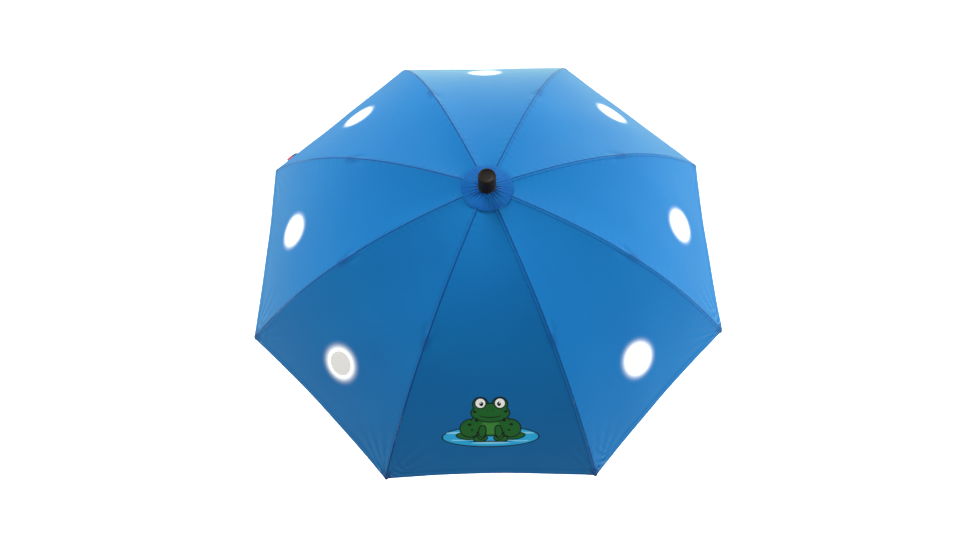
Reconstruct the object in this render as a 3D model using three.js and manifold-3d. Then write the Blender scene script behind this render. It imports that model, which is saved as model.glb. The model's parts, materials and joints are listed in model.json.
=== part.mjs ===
// A children's stick umbrella, open. Millimetres, +Z up along the shaft.
// The origin is the middle of the straight grip of the crook handle, on the shaft's axis.
import * as THREE from 'three';
import Module from 'manifold-3d';
import { mergeVertices } from 'three/addons/utils/BufferGeometryUtils.js';

const wasm = await Module();
wasm.setup();

// ---- Driving dimensions ----
const RIB_COUNT = 8;
const FIRST_RIB_AZIMUTH = -67.5; // degrees from +X; two ribs lie either side of the -Y front gore
const GORE_ANGLE = 360 / RIB_COUNT;
const GAP = 0.3; // clearance between neighbouring solids

// Canopy: the top line of the fabric over a rib, above the plane of the rib ends
const CANOPY_RADIUS = 385;
const CANOPY_RISE = 189;
const SAG_LINEAR = 0.194;
const SAG_SQUARE = 0.274;
const SAG_CUBE = 1 - SAG_LINEAR - SAG_SQUARE;
const CANOPY_THICK = 1;
const CANOPY_HOLE = 6.5;
const ROSETTE_RADIUS = 33;
const RIM_PLANE = 305; // height of the rib ends above the grip

// Frame: ribs hang below the fabric, hinged at the notch, with a joint at mid length
const RIB_DEPTH = 4.4; // rib centre line below the fabric's top
const RING_RADIUS = 8.4; // pivot ring of the notch and of the runner
const JOINT_AT = 204; // canopy radius over the rib's mid joint
const RIB_WIDTH = 3.2;
const RIB_HEIGHT = 3;
const ROD_WIDTH = 2.6;
const ROD_END = 1.8;
const EYE_RADIUS = 2.1;
const TONGUE = 1.6; // thickness of the tongues in the notch and the runner
const TONGUE_HEIGHT = 2.4;
const WIRE_HOLE = 0.85; // the tongue's hole for the notch wire
const PIN_RADIUS = 0.8;
const PIN_HEAD_RADIUS = 1.5;
const PIN_HEAD = 0.5;
const HOLE_RADIUS = 1.15;

// Widths across the rib's mid joint, from the inside out, each with its gap
const EYE_WIDTH = 1.2; // inner rib's eye
const FORK_SLOT = EYE_WIDTH + 2 * GAP;
const FORK_WIDTH = FORK_SLOT + 1.2; // outer rib's fork
const YOKE_SLOT = FORK_WIDTH + 2 * GAP;
const YOKE_WIDTH = YOKE_SLOT + 1.2; // stretcher's fork

// Shaft, catches and handle
const SHAFT_RADIUS = 5;
const SHAFT_BORE = 4.3;
const SLEEVE_BORE = 5.4; // every part that fits round the shaft
const SHAFT_SIDES = 20;
const CATCH_REACH = 7.2;
const CATCH_LENGTH = 14;
const CATCH_THICK = 1.4;
const HANDLE_RADIUS = 9.5;
const GRIP_LENGTH = 80;
const CROOK_RADIUS = 33;
const CROOK_END = 16;
const CROOK_BALL = 10.2; // the crook's end is slightly swollen
const SOCKET_DEPTH = 58;
const CAP_RADIUS = 12.3;
const CAP_HEIGHT = 26;
const CAP_ROOF = 5; // solid end of the cap above the shaft

// Runner and notch, measured from their pivot rings
const FLUTE_WIDTH = 2.4;
const FLUTE_FLOOR = 6.4;
const RUNNER_TOP = 5;
const RUNNER_BOTTOM = -36;
const CROWN_RADIUS = 11.5;
const RUNNER_RADIUS = 9.6;
const FLANGE_RADIUS = 13;
const KEYWAY_RADIUS = 7.7;
const KEYWAY_WIDTH = 2.2;
const CLOSED_ANGLE = 84; // inner rib below the horizontal when the umbrella is shut

const LAP = 1; // how far joined stretches of one part run into each other
const THROUGH = 12; // length of a cutting tool that goes right through a part

// Closure strap
const STRAP_WIDTH = 18;
const STRAP_LENGTH = 110;
const STRAP_THICK = 1;
const STRAP_FROM_RIB = 20;
const STUD_FROM_END = 12;

const radians = THREE.MathUtils.degToRad;

// ---- Materials ----
function material(color, roughness, metalness) {
  return new THREE.MeshStandardMaterial({ color, roughness, metalness });
}
const canopyBlue = material(0x3d84c6, 0.75, 0);
const blackPlastic = material(0x17181a, 0.4, 0);
const bareSteel = material(0xb9bcc0, 0.3, 0.9);
const darkRod = material(0x202224, 0.5, 0);

// ---- Solids ----
function toSolid(geometry) {
  const bare = geometry.index ? geometry.clone() : geometry;
  bare.deleteAttribute('normal');
  bare.deleteAttribute('uv');
  const merged = mergeVertices(bare, 1e-4);
  return new wasm.Manifold(new wasm.Mesh({
    numProp: 3,
    vertProperties: new Float32Array(merged.attributes.position.array),
    triVerts: new Uint32Array(merged.index.array),
  }));
}

function toGeometry(solid) {
  const mesh = solid.getMesh();
  const geometry = new THREE.BufferGeometry();
  geometry.setAttribute('position', new THREE.BufferAttribute(mesh.vertProperties, 3));
  geometry.setIndex(new THREE.BufferAttribute(mesh.triVerts, 1));
  return geometry;
}

function join(solids) {
  return solids.reduce((whole, next) => whole.add(next));
}

function cut(solid, tools) {
  return tools.reduce((rest, tool) => rest.subtract(tool), solid);
}

// A flat outline in the (radius, height) plane, made `width` thick about the rib's own plane
function plate(shape, width) {
  const geometry = new THREE.ExtrudeGeometry(shape, {
    depth: width, bevelEnabled: false, curveSegments: 4,
  });
  geometry.translate(0, 0, -width / 2);
  geometry.rotateX(Math.PI / 2);
  return toSolid(geometry);
}

function disc(x, z, radius, width) {
  const shape = new THREE.Shape();
  shape.absarc(x, z, radius, 0, 2 * Math.PI);
  return plate(shape, width);
}

function block(x0, x1, y0, y1, z0, z1) {
  const geometry = new THREE.BoxGeometry(x1 - x0, y1 - y0, z1 - z0);
  geometry.translate((x0 + x1) / 2, (y0 + y1) / 2, (z0 + z1) / 2);
  return toSolid(geometry);
}

// A turned part about the shaft's axis; a profile that goes up its outside faces outward
function turned(profile, sides) {
  const points = profile.map(([radius, height]) => new THREE.Vector2(radius, height));
  const geometry = new THREE.LatheGeometry(points, sides);
  geometry.rotateX(Math.PI / 2);
  return geometry;
}

function turnedRing(profile, sides) {
  return turned([...profile, profile[0]], sides);
}

function axialCylinder(radius, z0, z1, sides) {
  return toSolid(turned([[0, z0], [radius, z0], [radius, z1], [0, z1]], sides));
}

// ---- Canopy line and the rib line below it ----
function canopyHeight(radius) {
  const t = radius / CANOPY_RADIUS;
  const drop = SAG_LINEAR * t + SAG_SQUARE * t ** 2 + SAG_CUBE * t ** 3;
  return RIM_PLANE + CANOPY_RISE * (1 - drop);
}

function canopySlope(radius) {
  const t = radius / CANOPY_RADIUS;
  const rate = SAG_LINEAR + 2 * SAG_SQUARE * t + 3 * SAG_CUBE * t ** 2;
  return Math.atan(rate * CANOPY_RISE / CANOPY_RADIUS);
}

// The point `depth` below the canopy's top line, square to it
function under(radius, depth) {
  const slope = canopySlope(radius);
  return new THREE.Vector2(
    radius - depth * Math.sin(slope),
    canopyHeight(radius) - depth * Math.cos(slope),
  );
}

function steps(from, to, count) {
  return Array.from({ length: count + 1 }, (_, i) => from + (to - from) * i / count);
}

// A strip centred on the rib line, between two canopy radii
function ribStrip(from, to, height, count) {
  const radii = steps(from, to, count);
  const top = radii.map((r) => under(r, RIB_DEPTH - height / 2));
  const bottom = radii.map((r) => under(r, RIB_DEPTH + height / 2)).reverse();
  return new THREE.Shape([...top, ...bottom]);
}

// ---- The linkage: notch pivot, rib joint and runner pivot make an isosceles triangle ----
const notchHeight = canopyHeight(RING_RADIUS) - RIB_DEPTH;
const joint = under(JOINT_AT, RIB_DEPTH);
const legRun = joint.x - RING_RADIUS;
const legDrop = notchHeight - joint.y;
const legLength = Math.hypot(legRun, legDrop);
const openAngle = Math.atan2(legDrop, legRun);
const runnerOpen = notchHeight - 2 * legLength * Math.sin(openAngle);
const runnerShut = notchHeight - 2 * legLength * Math.sin(radians(CLOSED_ANGLE));
const handleTop = GRIP_LENGTH / 2;

// ---- Ribs ----
function innerRib() {
  const tongueEnd = RING_RADIUS + 9;
  const eyePlateStart = JOINT_AT - 6;
  const solid = join([
    disc(RING_RADIUS, notchHeight, 2 * WIRE_HOLE, TONGUE),
    plate(ribStrip(RING_RADIUS, tongueEnd, TONGUE_HEIGHT, 2), TONGUE),
    plate(ribStrip(tongueEnd - LAP, eyePlateStart, RIB_HEIGHT, 8), RIB_WIDTH),
    plate(ribStrip(eyePlateStart - LAP, JOINT_AT, TONGUE_HEIGHT, 2), EYE_WIDTH),
    disc(joint.x, joint.y, EYE_RADIUS, EYE_WIDTH),
  ]);
  return cut(solid, [
    disc(RING_RADIUS, notchHeight, WIRE_HOLE, THROUGH),
    disc(joint.x, joint.y, HOLE_RADIUS, THROUGH),
  ]);
}

function outerRib() {
  const forkEnd = JOINT_AT + 9;
  const slotDepth = 3.4;
  const rodEnd = CANOPY_RADIUS - 9;
  const fork = join([
    disc(joint.x, joint.y, EYE_RADIUS, FORK_WIDTH),
    plate(ribStrip(JOINT_AT, forkEnd, RIB_HEIGHT, 2), FORK_WIDTH),
  ]);
  const half = FORK_SLOT / 2;
  return join([
    cut(fork, [
      block(
        joint.x - 2 * EYE_RADIUS, joint.x + slotDepth, -half, half,
        joint.y - THROUGH / 2, joint.y + THROUGH / 2,
      ),
      disc(joint.x, joint.y, HOLE_RADIUS, THROUGH),
    ]),
    plate(ribStrip(forkEnd - LAP, rodEnd, ROD_WIDTH, 9), ROD_WIDTH),
    plate(ribStrip(rodEnd - LAP, CANOPY_RADIUS, ROD_END, 2), ROD_END),
  ]);
}

function jointPin() {
  const headStart = YOKE_WIDTH / 2 + GAP;
  const half = headStart + PIN_HEAD;
  const geometry = turned([
    [0, -half], [PIN_HEAD_RADIUS, -half], [PIN_HEAD_RADIUS, -headStart],
    [PIN_RADIUS, -headStart], [PIN_RADIUS, headStart], [PIN_HEAD_RADIUS, headStart],
    [PIN_HEAD_RADIUS, half], [0, half],
  ], 8);
  geometry.rotateX(Math.PI / 2);
  geometry.translate(joint.x, 0, joint.y);
  return toSolid(geometry);
}

// A moulded ball end, turned about the rib's last direction
function ribTip() {
  const ball = 2.8;
  const ballCentre = 2;
  const neck = 2.4;
  const bore = 1.7;
  const length = 7;
  const arc = steps(-50, 90, 5).map((deg) => [
    ball * Math.cos(radians(deg)), ballCentre + ball * Math.sin(radians(deg)),
  ]);
  arc[arc.length - 1][0] = 0;
  const profile = [
    [0, GAP], [bore, GAP], [bore, -length], [neck, -length], [neck, -1.2], ...arc.slice(1),
  ];
  const geometry = turned(profile, 8);
  const end = under(CANOPY_RADIUS, RIB_DEPTH);
  geometry.rotateY(Math.PI / 2 + canopySlope(CANOPY_RADIUS));
  geometry.translate(end.x, 0, end.y);
  return toSolid(geometry);
}

// ---- Stretcher: a bar with its fork round the rib joint, its tongue loose in the runner ----
function stretcher() {
  const half = RIB_HEIGHT / 2;
  const tongueHalf = TONGUE_HEIGHT / 2;
  const tongueLength = 20;
  const tongueEye = 1.5;
  const tongueHole = 0.7;
  const yokeStart = legLength - 12;
  const slotStart = legLength - 9.5;
  const bar = join([
    disc(0, 0, tongueEye, TONGUE),
    block(0, tongueLength, -TONGUE / 2, TONGUE / 2, -tongueHalf, tongueHalf),
    block(tongueLength - LAP, yokeStart + LAP, -RIB_WIDTH / 2, RIB_WIDTH / 2, -half, half),
    block(yokeStart, legLength, -YOKE_WIDTH / 2, YOKE_WIDTH / 2, -half, half),
    disc(legLength, 0, EYE_RADIUS, YOKE_WIDTH),
  ]);
  const solid = cut(bar, [
    block(
      slotStart, legLength + 2 * EYE_RADIUS, -YOKE_SLOT / 2, YOKE_SLOT / 2,
      -THROUGH / 2, THROUGH / 2,
    ),
    disc(0, 0, tongueHole, THROUGH),
    disc(legLength, 0, HOLE_RADIUS, THROUGH),
  ]);
  const geometry = toGeometry(solid);
  geometry.rotateY(-openAngle);
  geometry.translate(RING_RADIUS, 0, runnerOpen);
  return toSolid(geometry);
}

// ---- Canopy: eight flat-chord gores, divided midway between the ribs ----
function canopyPanel() {
  const radii = steps(CANOPY_HOLE, CANOPY_RADIUS, 11);
  const underside = radii.map((r) => under(r, CANOPY_THICK)).map((p) => [p.x, p.y]);
  underside[0][0] = CANOPY_HOLE;
  const topside = radii.map((r) => [r, canopyHeight(r)]).reverse();
  const dome = toSolid(turnedRing([...underside, ...topside], RIB_COUNT));
  const half = radians(GORE_ANGLE / 2);
  const start = GAP / 2 / Math.sin(half);
  const reach = CANOPY_RADIUS * 1.1;
  const below = RIM_PLANE - 50;
  const wedge = new THREE.Shape([
    new THREE.Vector2(start, 0),
    new THREE.Vector2(reach, -(reach - start) * Math.tan(half)),
    new THREE.Vector2(reach, (reach - start) * Math.tan(half)),
  ]);
  const geometry = new THREE.ExtrudeGeometry(wedge, {
    depth: CANOPY_RADIUS, bevelEnabled: false,
  });
  geometry.translate(0, 0, below);
  return dome.intersect(toSolid(geometry));
}

// A gathered disc of the same cloth that covers the hole at the top
function rosette() {
  const radii = steps(SLEEVE_BORE + 0.2, ROSETTE_RADIUS, 3);
  const lift = 0.35;
  const thickness = 1.2;
  const bottom = radii.map((r) => [r, canopyHeight(r) + lift]);
  const top = radii.map((r) => [r, canopyHeight(r) + lift + thickness]).reverse();
  return toSolid(turnedRing([...bottom, ...top], 24));
}

// ---- Parts on the shaft ----
const capBottom = canopyHeight(0) + 1.9;
const capTop = capBottom + CAP_HEIGHT;
const shaftTop = capTop - CAP_ROOF;

function ferruleCap() {
  const bore = SLEEVE_BORE;
  return toSolid(turned([
    [0, shaftTop + GAP], [bore, shaftTop + GAP], [bore, capBottom], [CAP_RADIUS, capBottom],
    [CAP_RADIUS, capBottom + 3], [CAP_RADIUS - 0.8, capBottom + 4], [CAP_RADIUS - 0.4, capTop - 3],
    [CAP_RADIUS - 1.2, capTop - 0.9], [CAP_RADIUS - 3, capTop], [0, capTop],
  ], 28));
}

// Eight radial slots for the tongues, open above, below and outward
function flutes(z0, z1) {
  return steps(0, RIB_COUNT - 1, RIB_COUNT - 1).map((i) => {
    const slot = block(FLUTE_FLOOR, 20, -FLUTE_WIDTH / 2, FLUTE_WIDTH / 2, z0, z1);
    return slot.rotate([0, 0, FIRST_RIB_AZIMUTH + GORE_ANGLE * i]);
  });
}

function wireRing(radius) {
  const geometry = new THREE.TorusGeometry(RING_RADIUS, radius, 6, 20);
  geometry.translate(0, 0, notchHeight);
  return toSolid(geometry);
}

function topNotch() {
  const top = notchHeight + 1.8;
  const bottom = notchHeight - 4.6;
  const ring = toSolid(turnedRing([
    [SLEEVE_BORE, bottom], [9.6, bottom], [11, bottom + 1.4], [11, top - 0.6], [10.4, top],
    [SLEEVE_BORE, top],
  ], 24));
  return cut(ring, [...flutes(bottom - 1, top + 1), wireRing(0.8)]);
}

// Catch windows face -Y, midway between two ribs
const runnerBottomOpen = runnerOpen + RUNNER_BOTTOM;
const topCatchTop = runnerBottomOpen - GAP;
const windowCentre = -22;
const bottomCatchTop = runnerShut + windowCentre + CATCH_LENGTH / 2;

function runner() {
  const z = runnerOpen;
  const body = toSolid(turnedRing([
    [SLEEVE_BORE, z + RUNNER_BOTTOM], [FLANGE_RADIUS - 1, z + RUNNER_BOTTOM],
    [FLANGE_RADIUS, z + RUNNER_BOTTOM + 1], [FLANGE_RADIUS, z + RUNNER_BOTTOM + 3],
    [RUNNER_RADIUS, z + RUNNER_BOTTOM + 5], [RUNNER_RADIUS, z - 10],
    [CROWN_RADIUS, z - 8], [CROWN_RADIUS, z + RUNNER_TOP - 1],
    [CROWN_RADIUS - 1, z + RUNNER_TOP], [SLEEVE_BORE, z + RUNNER_TOP],
  ], 24));
  const low = z + RUNNER_BOTTOM - 1;
  const high = z + RUNNER_TOP + 1;
  const keyway = block(-KEYWAY_WIDTH / 2, KEYWAY_WIDTH / 2, -KEYWAY_RADIUS, -4, low, high);
  const windowHalf = CATCH_LENGTH / 2 + 1;
  const window = block(
    -KEYWAY_WIDTH / 2, KEYWAY_WIDTH / 2, -20, -4,
    z + windowCentre - windowHalf, z + windowCentre + windowHalf,
  );
  return cut(body, [...flutes(low, high), keyway, window]);
}

// A bent spring strip: its ledge stops the runner, its slope lets the runner ride over.
// direction 1 puts the ledge at the top, -1 at the bottom.
function springCatch(top, direction) {
  const middle = top - CATCH_LENGTH / 2;
  const half = CATCH_LENGTH / 2;
  const outline = [
    [2.2, half - 0.6], [CATCH_REACH, half], [CATCH_REACH, half - 2.2], [4.2, -half + 0.6],
    [2.2, -half + 0.6],
  ];
  const shape = new THREE.Shape(outline.map(
    ([reach, along]) => new THREE.Vector2(reach, middle + direction * along),
  ));
  return plate(shape, CATCH_THICK).rotate([0, 0, -90]);
}

function shaftTube() {
  const bottom = handleTop - SOCKET_DEPTH + GAP;
  const tube = toSolid(turnedRing([
    [SHAFT_BORE, bottom], [SHAFT_RADIUS, bottom], [SHAFT_RADIUS, shaftTop],
    [SHAFT_BORE, shaftTop],
  ], SHAFT_SIDES));
  const slots = [topCatchTop, bottomCatchTop].map((top) => block(
    -1, 1, -SHAFT_RADIUS - 2, 0, top - CATCH_LENGTH - 0.6, top + 0.6,
  ));
  return cut(tube, slots);
}

function handleCollar() {
  const bottom = handleTop + GAP;
  const top = handleTop + 12;
  return toSolid(turnedRing([
    [SLEEVE_BORE, bottom], [HANDLE_RADIUS + 1.2, bottom], [HANDLE_RADIUS + 1.2, bottom + 3],
    [HANDLE_RADIUS, bottom + 4], [HANDLE_RADIUS - 1.5, top - 1], [HANDLE_RADIUS - 2.5, top],
    [SLEEVE_BORE, top],
  ], 24));
}

function crookHandle() {
  const bottom = -GRIP_LENGTH / 2;
  const turn = steps(0, 180, 14).map((deg) => new THREE.Vector3(
    CROOK_RADIUS - CROOK_RADIUS * Math.cos(radians(deg)),
    0,
    bottom - CROOK_RADIUS * Math.sin(radians(deg)),
  ));
  const path = new THREE.CatmullRomCurve3([
    new THREE.Vector3(0, 0, handleTop),
    new THREE.Vector3(0, 0, bottom + 12),
    ...turn,
    new THREE.Vector3(2 * CROOK_RADIUS, 0, bottom + CROOK_END),
  ], false, 'centripetal');
  const section = new THREE.Shape();
  section.absarc(0, 0, HANDLE_RADIUS, 0, 2 * Math.PI);
  const tube = toSolid(new THREE.ExtrudeGeometry(section, {
    steps: 24, extrudePath: path, curveSegments: 7, bevelEnabled: false,
  }));
  const ball = new THREE.SphereGeometry(CROOK_BALL, 16, 10);
  ball.rotateX(Math.PI / 2);
  ball.translate(2 * CROOK_RADIUS, 0, bottom + CROOK_END);
  const socket = axialCylinder(SLEEVE_BORE, handleTop - SOCKET_DEPTH, handleTop + 1, SHAFT_SIDES);
  return cut(join([tube, toSolid(ball)]), [socket]);
}

// ---- Closure strap: hangs from the hem beside rib 6 ----
const strapGoreAzimuth = FIRST_RIB_AZIMUTH + GORE_ANGLE * 4.5;
const hemApothem = CANOPY_RADIUS * Math.cos(radians(GORE_ANGLE / 2));
const hemHalf = CANOPY_RADIUS * Math.sin(radians(GORE_ANGLE / 2));
const strapCentre = hemHalf - STRAP_FROM_RIB;
const strapFace = hemApothem - 3;
const strapTop = RIM_PLANE - 1.6;

function closureStrap() {
  const half = STRAP_WIDTH / 2;
  return block(
    strapFace - STRAP_THICK, strapFace, strapCentre - half, strapCentre + half,
    strapTop - STRAP_LENGTH, strapTop,
  );
}

function strapStud() {
  const geometry = turned([[0, 0], [5, 0], [5, 1.2], [3.6, 2], [0, 2]], 16);
  geometry.rotateY(Math.PI / 2);
  geometry.translate(strapFace + GAP, strapCentre, strapTop - STRAP_LENGTH + STUD_FROM_END);
  return toSolid(geometry);
}

// ---- Assembly ----
const umbrella = new THREE.Group();

function addMesh(parent, name, solid, paint) {
  const mesh = new THREE.Mesh(toGeometry(solid), paint);
  mesh.name = name;
  parent.add(mesh);
}

addMesh(umbrella, 'shaft_tube', shaftTube(), bareSteel);
addMesh(umbrella, 'handle', crookHandle(), blackPlastic);
addMesh(umbrella, 'handle_collar', handleCollar(), bareSteel);
addMesh(umbrella, 'ferrule_cap', ferruleCap(), blackPlastic);
addMesh(umbrella, 'top_notch', topNotch(), blackPlastic);
addMesh(umbrella, 'notch_wire', wireRing(0.45), bareSteel);
addMesh(umbrella, 'rosette', rosette(), canopyBlue);
addMesh(umbrella, 'runner', runner(), blackPlastic);
addMesh(umbrella, 'top_catch', springCatch(topCatchTop, 1), bareSteel);
addMesh(umbrella, 'bottom_catch', springCatch(bottomCatchTop, -1), bareSteel);

const ribPieces = {
  inner_rib: [innerRib(), bareSteel],
  outer_rib: [outerRib(), darkRod],
  rib_tip: [ribTip(), blackPlastic],
  stretcher: [stretcher(), bareSteel],
  joint_pin: [jointPin(), bareSteel],
  canopy_panel: [canopyPanel(), canopyBlue],
};
for (let i = 0; i < RIB_COUNT; i += 1) {
  const sector = new THREE.Group();
  sector.rotation.z = radians(FIRST_RIB_AZIMUTH + GORE_ANGLE * i);
  umbrella.add(sector);
  for (const [name, [solid, paint]] of Object.entries(ribPieces)) {
    addMesh(sector, `${name}_${i + 1}`, solid, paint);
  }
}

const strapSector = new THREE.Group();
strapSector.rotation.z = radians(strapGoreAzimuth);
umbrella.add(strapSector);
addMesh(strapSector, 'closure_strap', closureStrap(), canopyBlue);
addMesh(strapSector, 'strap_stud', strapStud(), bareSteel);

export default umbrella;
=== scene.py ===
"""A children's stick umbrella, open: the looks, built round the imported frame.

Metres, +Z up along the shaft. The front gore faces -Y. Pieces that repeat on every rib are made
with the rib along +X and then turned to its azimuth.
"""
import json
import math

import bmesh
import bpy
import numpy as np
from mathutils import Matrix, Vector
from mathutils.geometry import tessellate_polygon


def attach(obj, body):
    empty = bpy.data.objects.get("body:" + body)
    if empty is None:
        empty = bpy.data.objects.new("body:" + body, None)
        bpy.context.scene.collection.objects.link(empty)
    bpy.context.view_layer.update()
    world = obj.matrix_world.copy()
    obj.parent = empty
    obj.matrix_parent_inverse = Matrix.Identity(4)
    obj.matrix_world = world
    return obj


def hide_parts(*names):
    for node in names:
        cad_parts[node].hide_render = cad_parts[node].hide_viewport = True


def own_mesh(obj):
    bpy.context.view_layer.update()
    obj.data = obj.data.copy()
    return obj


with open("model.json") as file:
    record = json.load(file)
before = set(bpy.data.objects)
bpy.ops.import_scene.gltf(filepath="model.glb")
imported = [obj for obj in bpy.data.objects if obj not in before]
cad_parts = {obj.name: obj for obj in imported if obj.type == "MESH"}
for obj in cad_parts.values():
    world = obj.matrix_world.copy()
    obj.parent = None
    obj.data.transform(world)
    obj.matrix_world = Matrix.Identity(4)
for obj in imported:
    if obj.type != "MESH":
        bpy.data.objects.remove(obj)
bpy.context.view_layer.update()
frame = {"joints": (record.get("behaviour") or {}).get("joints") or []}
MM = 0.001

# ---- Driving dimensions, shared with the frame ----
RIBS = 8
FIRST_RIB = math.radians(-67.5)
SECTOR = math.radians(45)
HALF_SECTOR = SECTOR / 2
CANOPY_RADIUS = 0.385
CANOPY_RISE = 0.189
RIM_PLANE = 0.305
SAG_LINEAR = 0.194
SAG_SQUARE = 0.274
SAG_CUBE = 1 - SAG_LINEAR - SAG_SQUARE
RIB_DEPTH = 4.4 * MM
JOINT_AT = 0.204

JOINTS = {joint["name"]: joint for joint in frame["joints"]}


def joint_radius_and_height(name):
    """A hinge's distance from the shaft's axis, and its height."""
    x, y, z = JOINTS[name]["pos_m"]
    return math.hypot(x, y), z


NOTCH_RADIUS, NOTCH_HEIGHT = joint_radius_and_height("rib_hinge_1")
JOINT_RADIUS, JOINT_HEIGHT = joint_radius_and_height("rib_flex_1")
LEG_LENGTH = math.hypot(JOINT_RADIUS - NOTCH_RADIUS, NOTCH_HEIGHT - JOINT_HEIGHT)
OPEN_ANGLE = math.atan2(NOTCH_HEIGHT - JOINT_HEIGHT, JOINT_RADIUS - NOTCH_RADIUS)
RUNNER_RING = NOTCH_HEIGHT - 2 * LEG_LENGTH * math.sin(OPEN_ANGLE)

# ---- Canopy cloth ----
CLOTH_THICK = 0.45 * MM
HEM_DIP = 4.5 * MM  # how far the hem curves in between two ribs
GORE_SAG = 3.5 * MM
SEAM_BAND = 4.2 * MM  # the felled seam's band, on one side of the rib
SEAM_RAISE = 0.25 * MM
SEAM_ALLOWANCE = 0.7 * MM  # the folded cloth under the seam
HEM_BAND = 9 * MM
HEM_RAISE = 0.3 * MM
# Rings of cloth over the inner ribs: where each starts, and the share of its width kept when shut
INNER_RINGS = [(0.0075, 0.80), (0.030, 0.53), (0.060, 0.37), (0.100, 0.28), (0.150, 0.18)]
# Rings over the outer ribs: where each ends, and the share of its width kept when shut
SKIRT_RINGS = [(0.232, 0.14), (0.335, 0.105), (CANOPY_RADIUS, 0.098)]
ROW_LENGTH = 3.2 * MM
TUCK_LENGTH = 5 * MM  # the lap under the skirt that closes the fold at the rib joints
TUCK_DEPTH = 0.52 * MM

# ---- Materials: a short way to write shader nodes ----


class Field:
    """A value that varies over the surface; arithmetic on it adds nodes to its tree."""

    def __init__(self, tree, socket):
        self.tree = tree
        self.socket = socket

    def node(self, operation, first, second=0.0):
        node = self.tree.nodes.new("ShaderNodeMath")
        node.operation = operation
        connect(first, node.inputs[0])
        connect(second, node.inputs[1])
        return Field(self.tree, node.outputs[0])

    def __add__(self, other):
        return self.node("ADD", self, other)

    def __sub__(self, other):
        return self.node("SUBTRACT", self, other)

    def __rsub__(self, other):
        return self.node("SUBTRACT", other, self)

    def __mul__(self, other):
        return self.node("MULTIPLY", self, other)

    def __truediv__(self, other):
        return self.node("DIVIDE", self, other)

    def __pow__(self, other):
        return self.node("POWER", self, other)

    def __abs__(self):
        return self.node("ABSOLUTE", self)

    def sine(self):
        return self.node("SINE", self)

    def maximum(self, other):
        return self.node("MAXIMUM", self, other)

    def ramp(self, low, high):
        """0 where the field is at low, 1 where it is at high, smooth between; low may be above high."""
        node = self.tree.nodes.new("ShaderNodeMapRange")
        node.interpolation_type = "SMOOTHSTEP"
        connect(self, node.inputs["Value"])
        node.inputs["From Min"].default_value = min(low, high)
        node.inputs["From Max"].default_value = max(low, high)
        node.inputs["To Min"].default_value = 0.0 if low < high else 1.0
        node.inputs["To Max"].default_value = 1.0 if low < high else 0.0
        return Field(self.tree, node.outputs["Result"])

    def parts(self):
        """The three numbers of a vector."""
        split = self.tree.nodes.new("ShaderNodeSeparateXYZ")
        connect(self, split.inputs[0])
        return [Field(self.tree, output) for output in split.outputs]


def connect(value, socket):
    """Feeds a field into a socket, or sets the socket to a plain number or colour."""
    if isinstance(value, Field):
        value.tree.links.new(value.socket, socket)
    elif isinstance(value, tuple):
        socket.default_value = (*value, 1.0)
    else:
        socket.default_value = value


def new_material(name):
    """A node material with one Principled shader, and that shader."""
    material = bpy.data.materials.new(name)
    material.use_nodes = True
    tree = material.node_tree
    tree.nodes.clear()
    output = tree.nodes.new("ShaderNodeOutputMaterial")
    shader = tree.nodes.new("ShaderNodeBsdfPrincipled")
    tree.links.new(shader.outputs[0], output.inputs["Surface"])
    return material, tree, shader


def mix_colour(tree, share, first, second):
    node = tree.nodes.new("ShaderNodeMix")
    node.data_type = "RGBA"
    for name, value in (("Factor", share), ("A", first), ("B", second)):
        connect(value, next(s for s in node.inputs if s.name == name and s.enabled))
    return Field(tree, next(s for s in node.outputs if s.enabled))


def attribute(tree, name):
    """A vector kept at the mesh's points."""
    node = tree.nodes.new("ShaderNodeAttribute")
    node.attribute_name = name
    return Field(tree, node.outputs["Vector"])


def noise(tree, scale, detail, vector=None):
    node = tree.nodes.new("ShaderNodeTexNoise")
    node.inputs["Scale"].default_value = scale
    node.inputs["Detail"].default_value = detail
    if vector is None:
        vector = Field(tree, tree.nodes.new("ShaderNodeTexCoord").outputs["Object"])
    connect(vector, node.inputs["Vector"])
    return Field(tree, node.outputs[0])


def bump(shader, height, distance, strength, before=None):
    node = height.tree.nodes.new("ShaderNodeBump")
    node.inputs["Strength"].default_value = strength
    node.inputs["Distance"].default_value = distance
    connect(height, node.inputs["Height"])
    if before is not None:
        connect(before, node.inputs["Normal"])
    result = Field(height.tree, node.outputs[0])
    connect(result, shader.inputs["Normal"])
    return result


def speckled(name, scale, detail, spread, dark, light):
    """A material whose colour wanders between two, and the field that it wanders by."""
    material, tree, shader = new_material(name)
    share = noise(tree, scale, detail).ramp(*spread)
    connect(mix_colour(tree, share, dark, light), shader.inputs["Base Color"])
    return material, tree, shader, share


# ---- Materials: cloth ----
CLOTH_BLUE = (0.0003, 0.128, 0.366)
CLOTH_DEEP = (0.0002, 0.096, 0.325)
# The seams' dark blue, also used for painted shade in the cloth's dimples and gathers
SEAM_AND_SHADE_BLUE = (0.0001, 0.038, 0.19)
STITCH_BLUE = (0.03, 0.22, 0.56)
PRINT_WHITE = (0.74, 0.72, 0.70)
# The white of the dot's printed rim, also the colour of its painted glow and emission
PRINT_RIM_AND_GLOW = (0.98, 0.99, 1.0)
OVAL_HEIGHT = 0.0895  # middle of the reflective dots above the hem
OVAL_RADIUS = 19 * MM
HALO_RADIUS = 40 * MM
WEAVE_PITCH = 0.7 * MM
STITCH_PITCH = 2.6 * MM
TIED_HEIGHT = 0.207  # up the gore from the hem to the rib joints, where the cloth is tied


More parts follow.
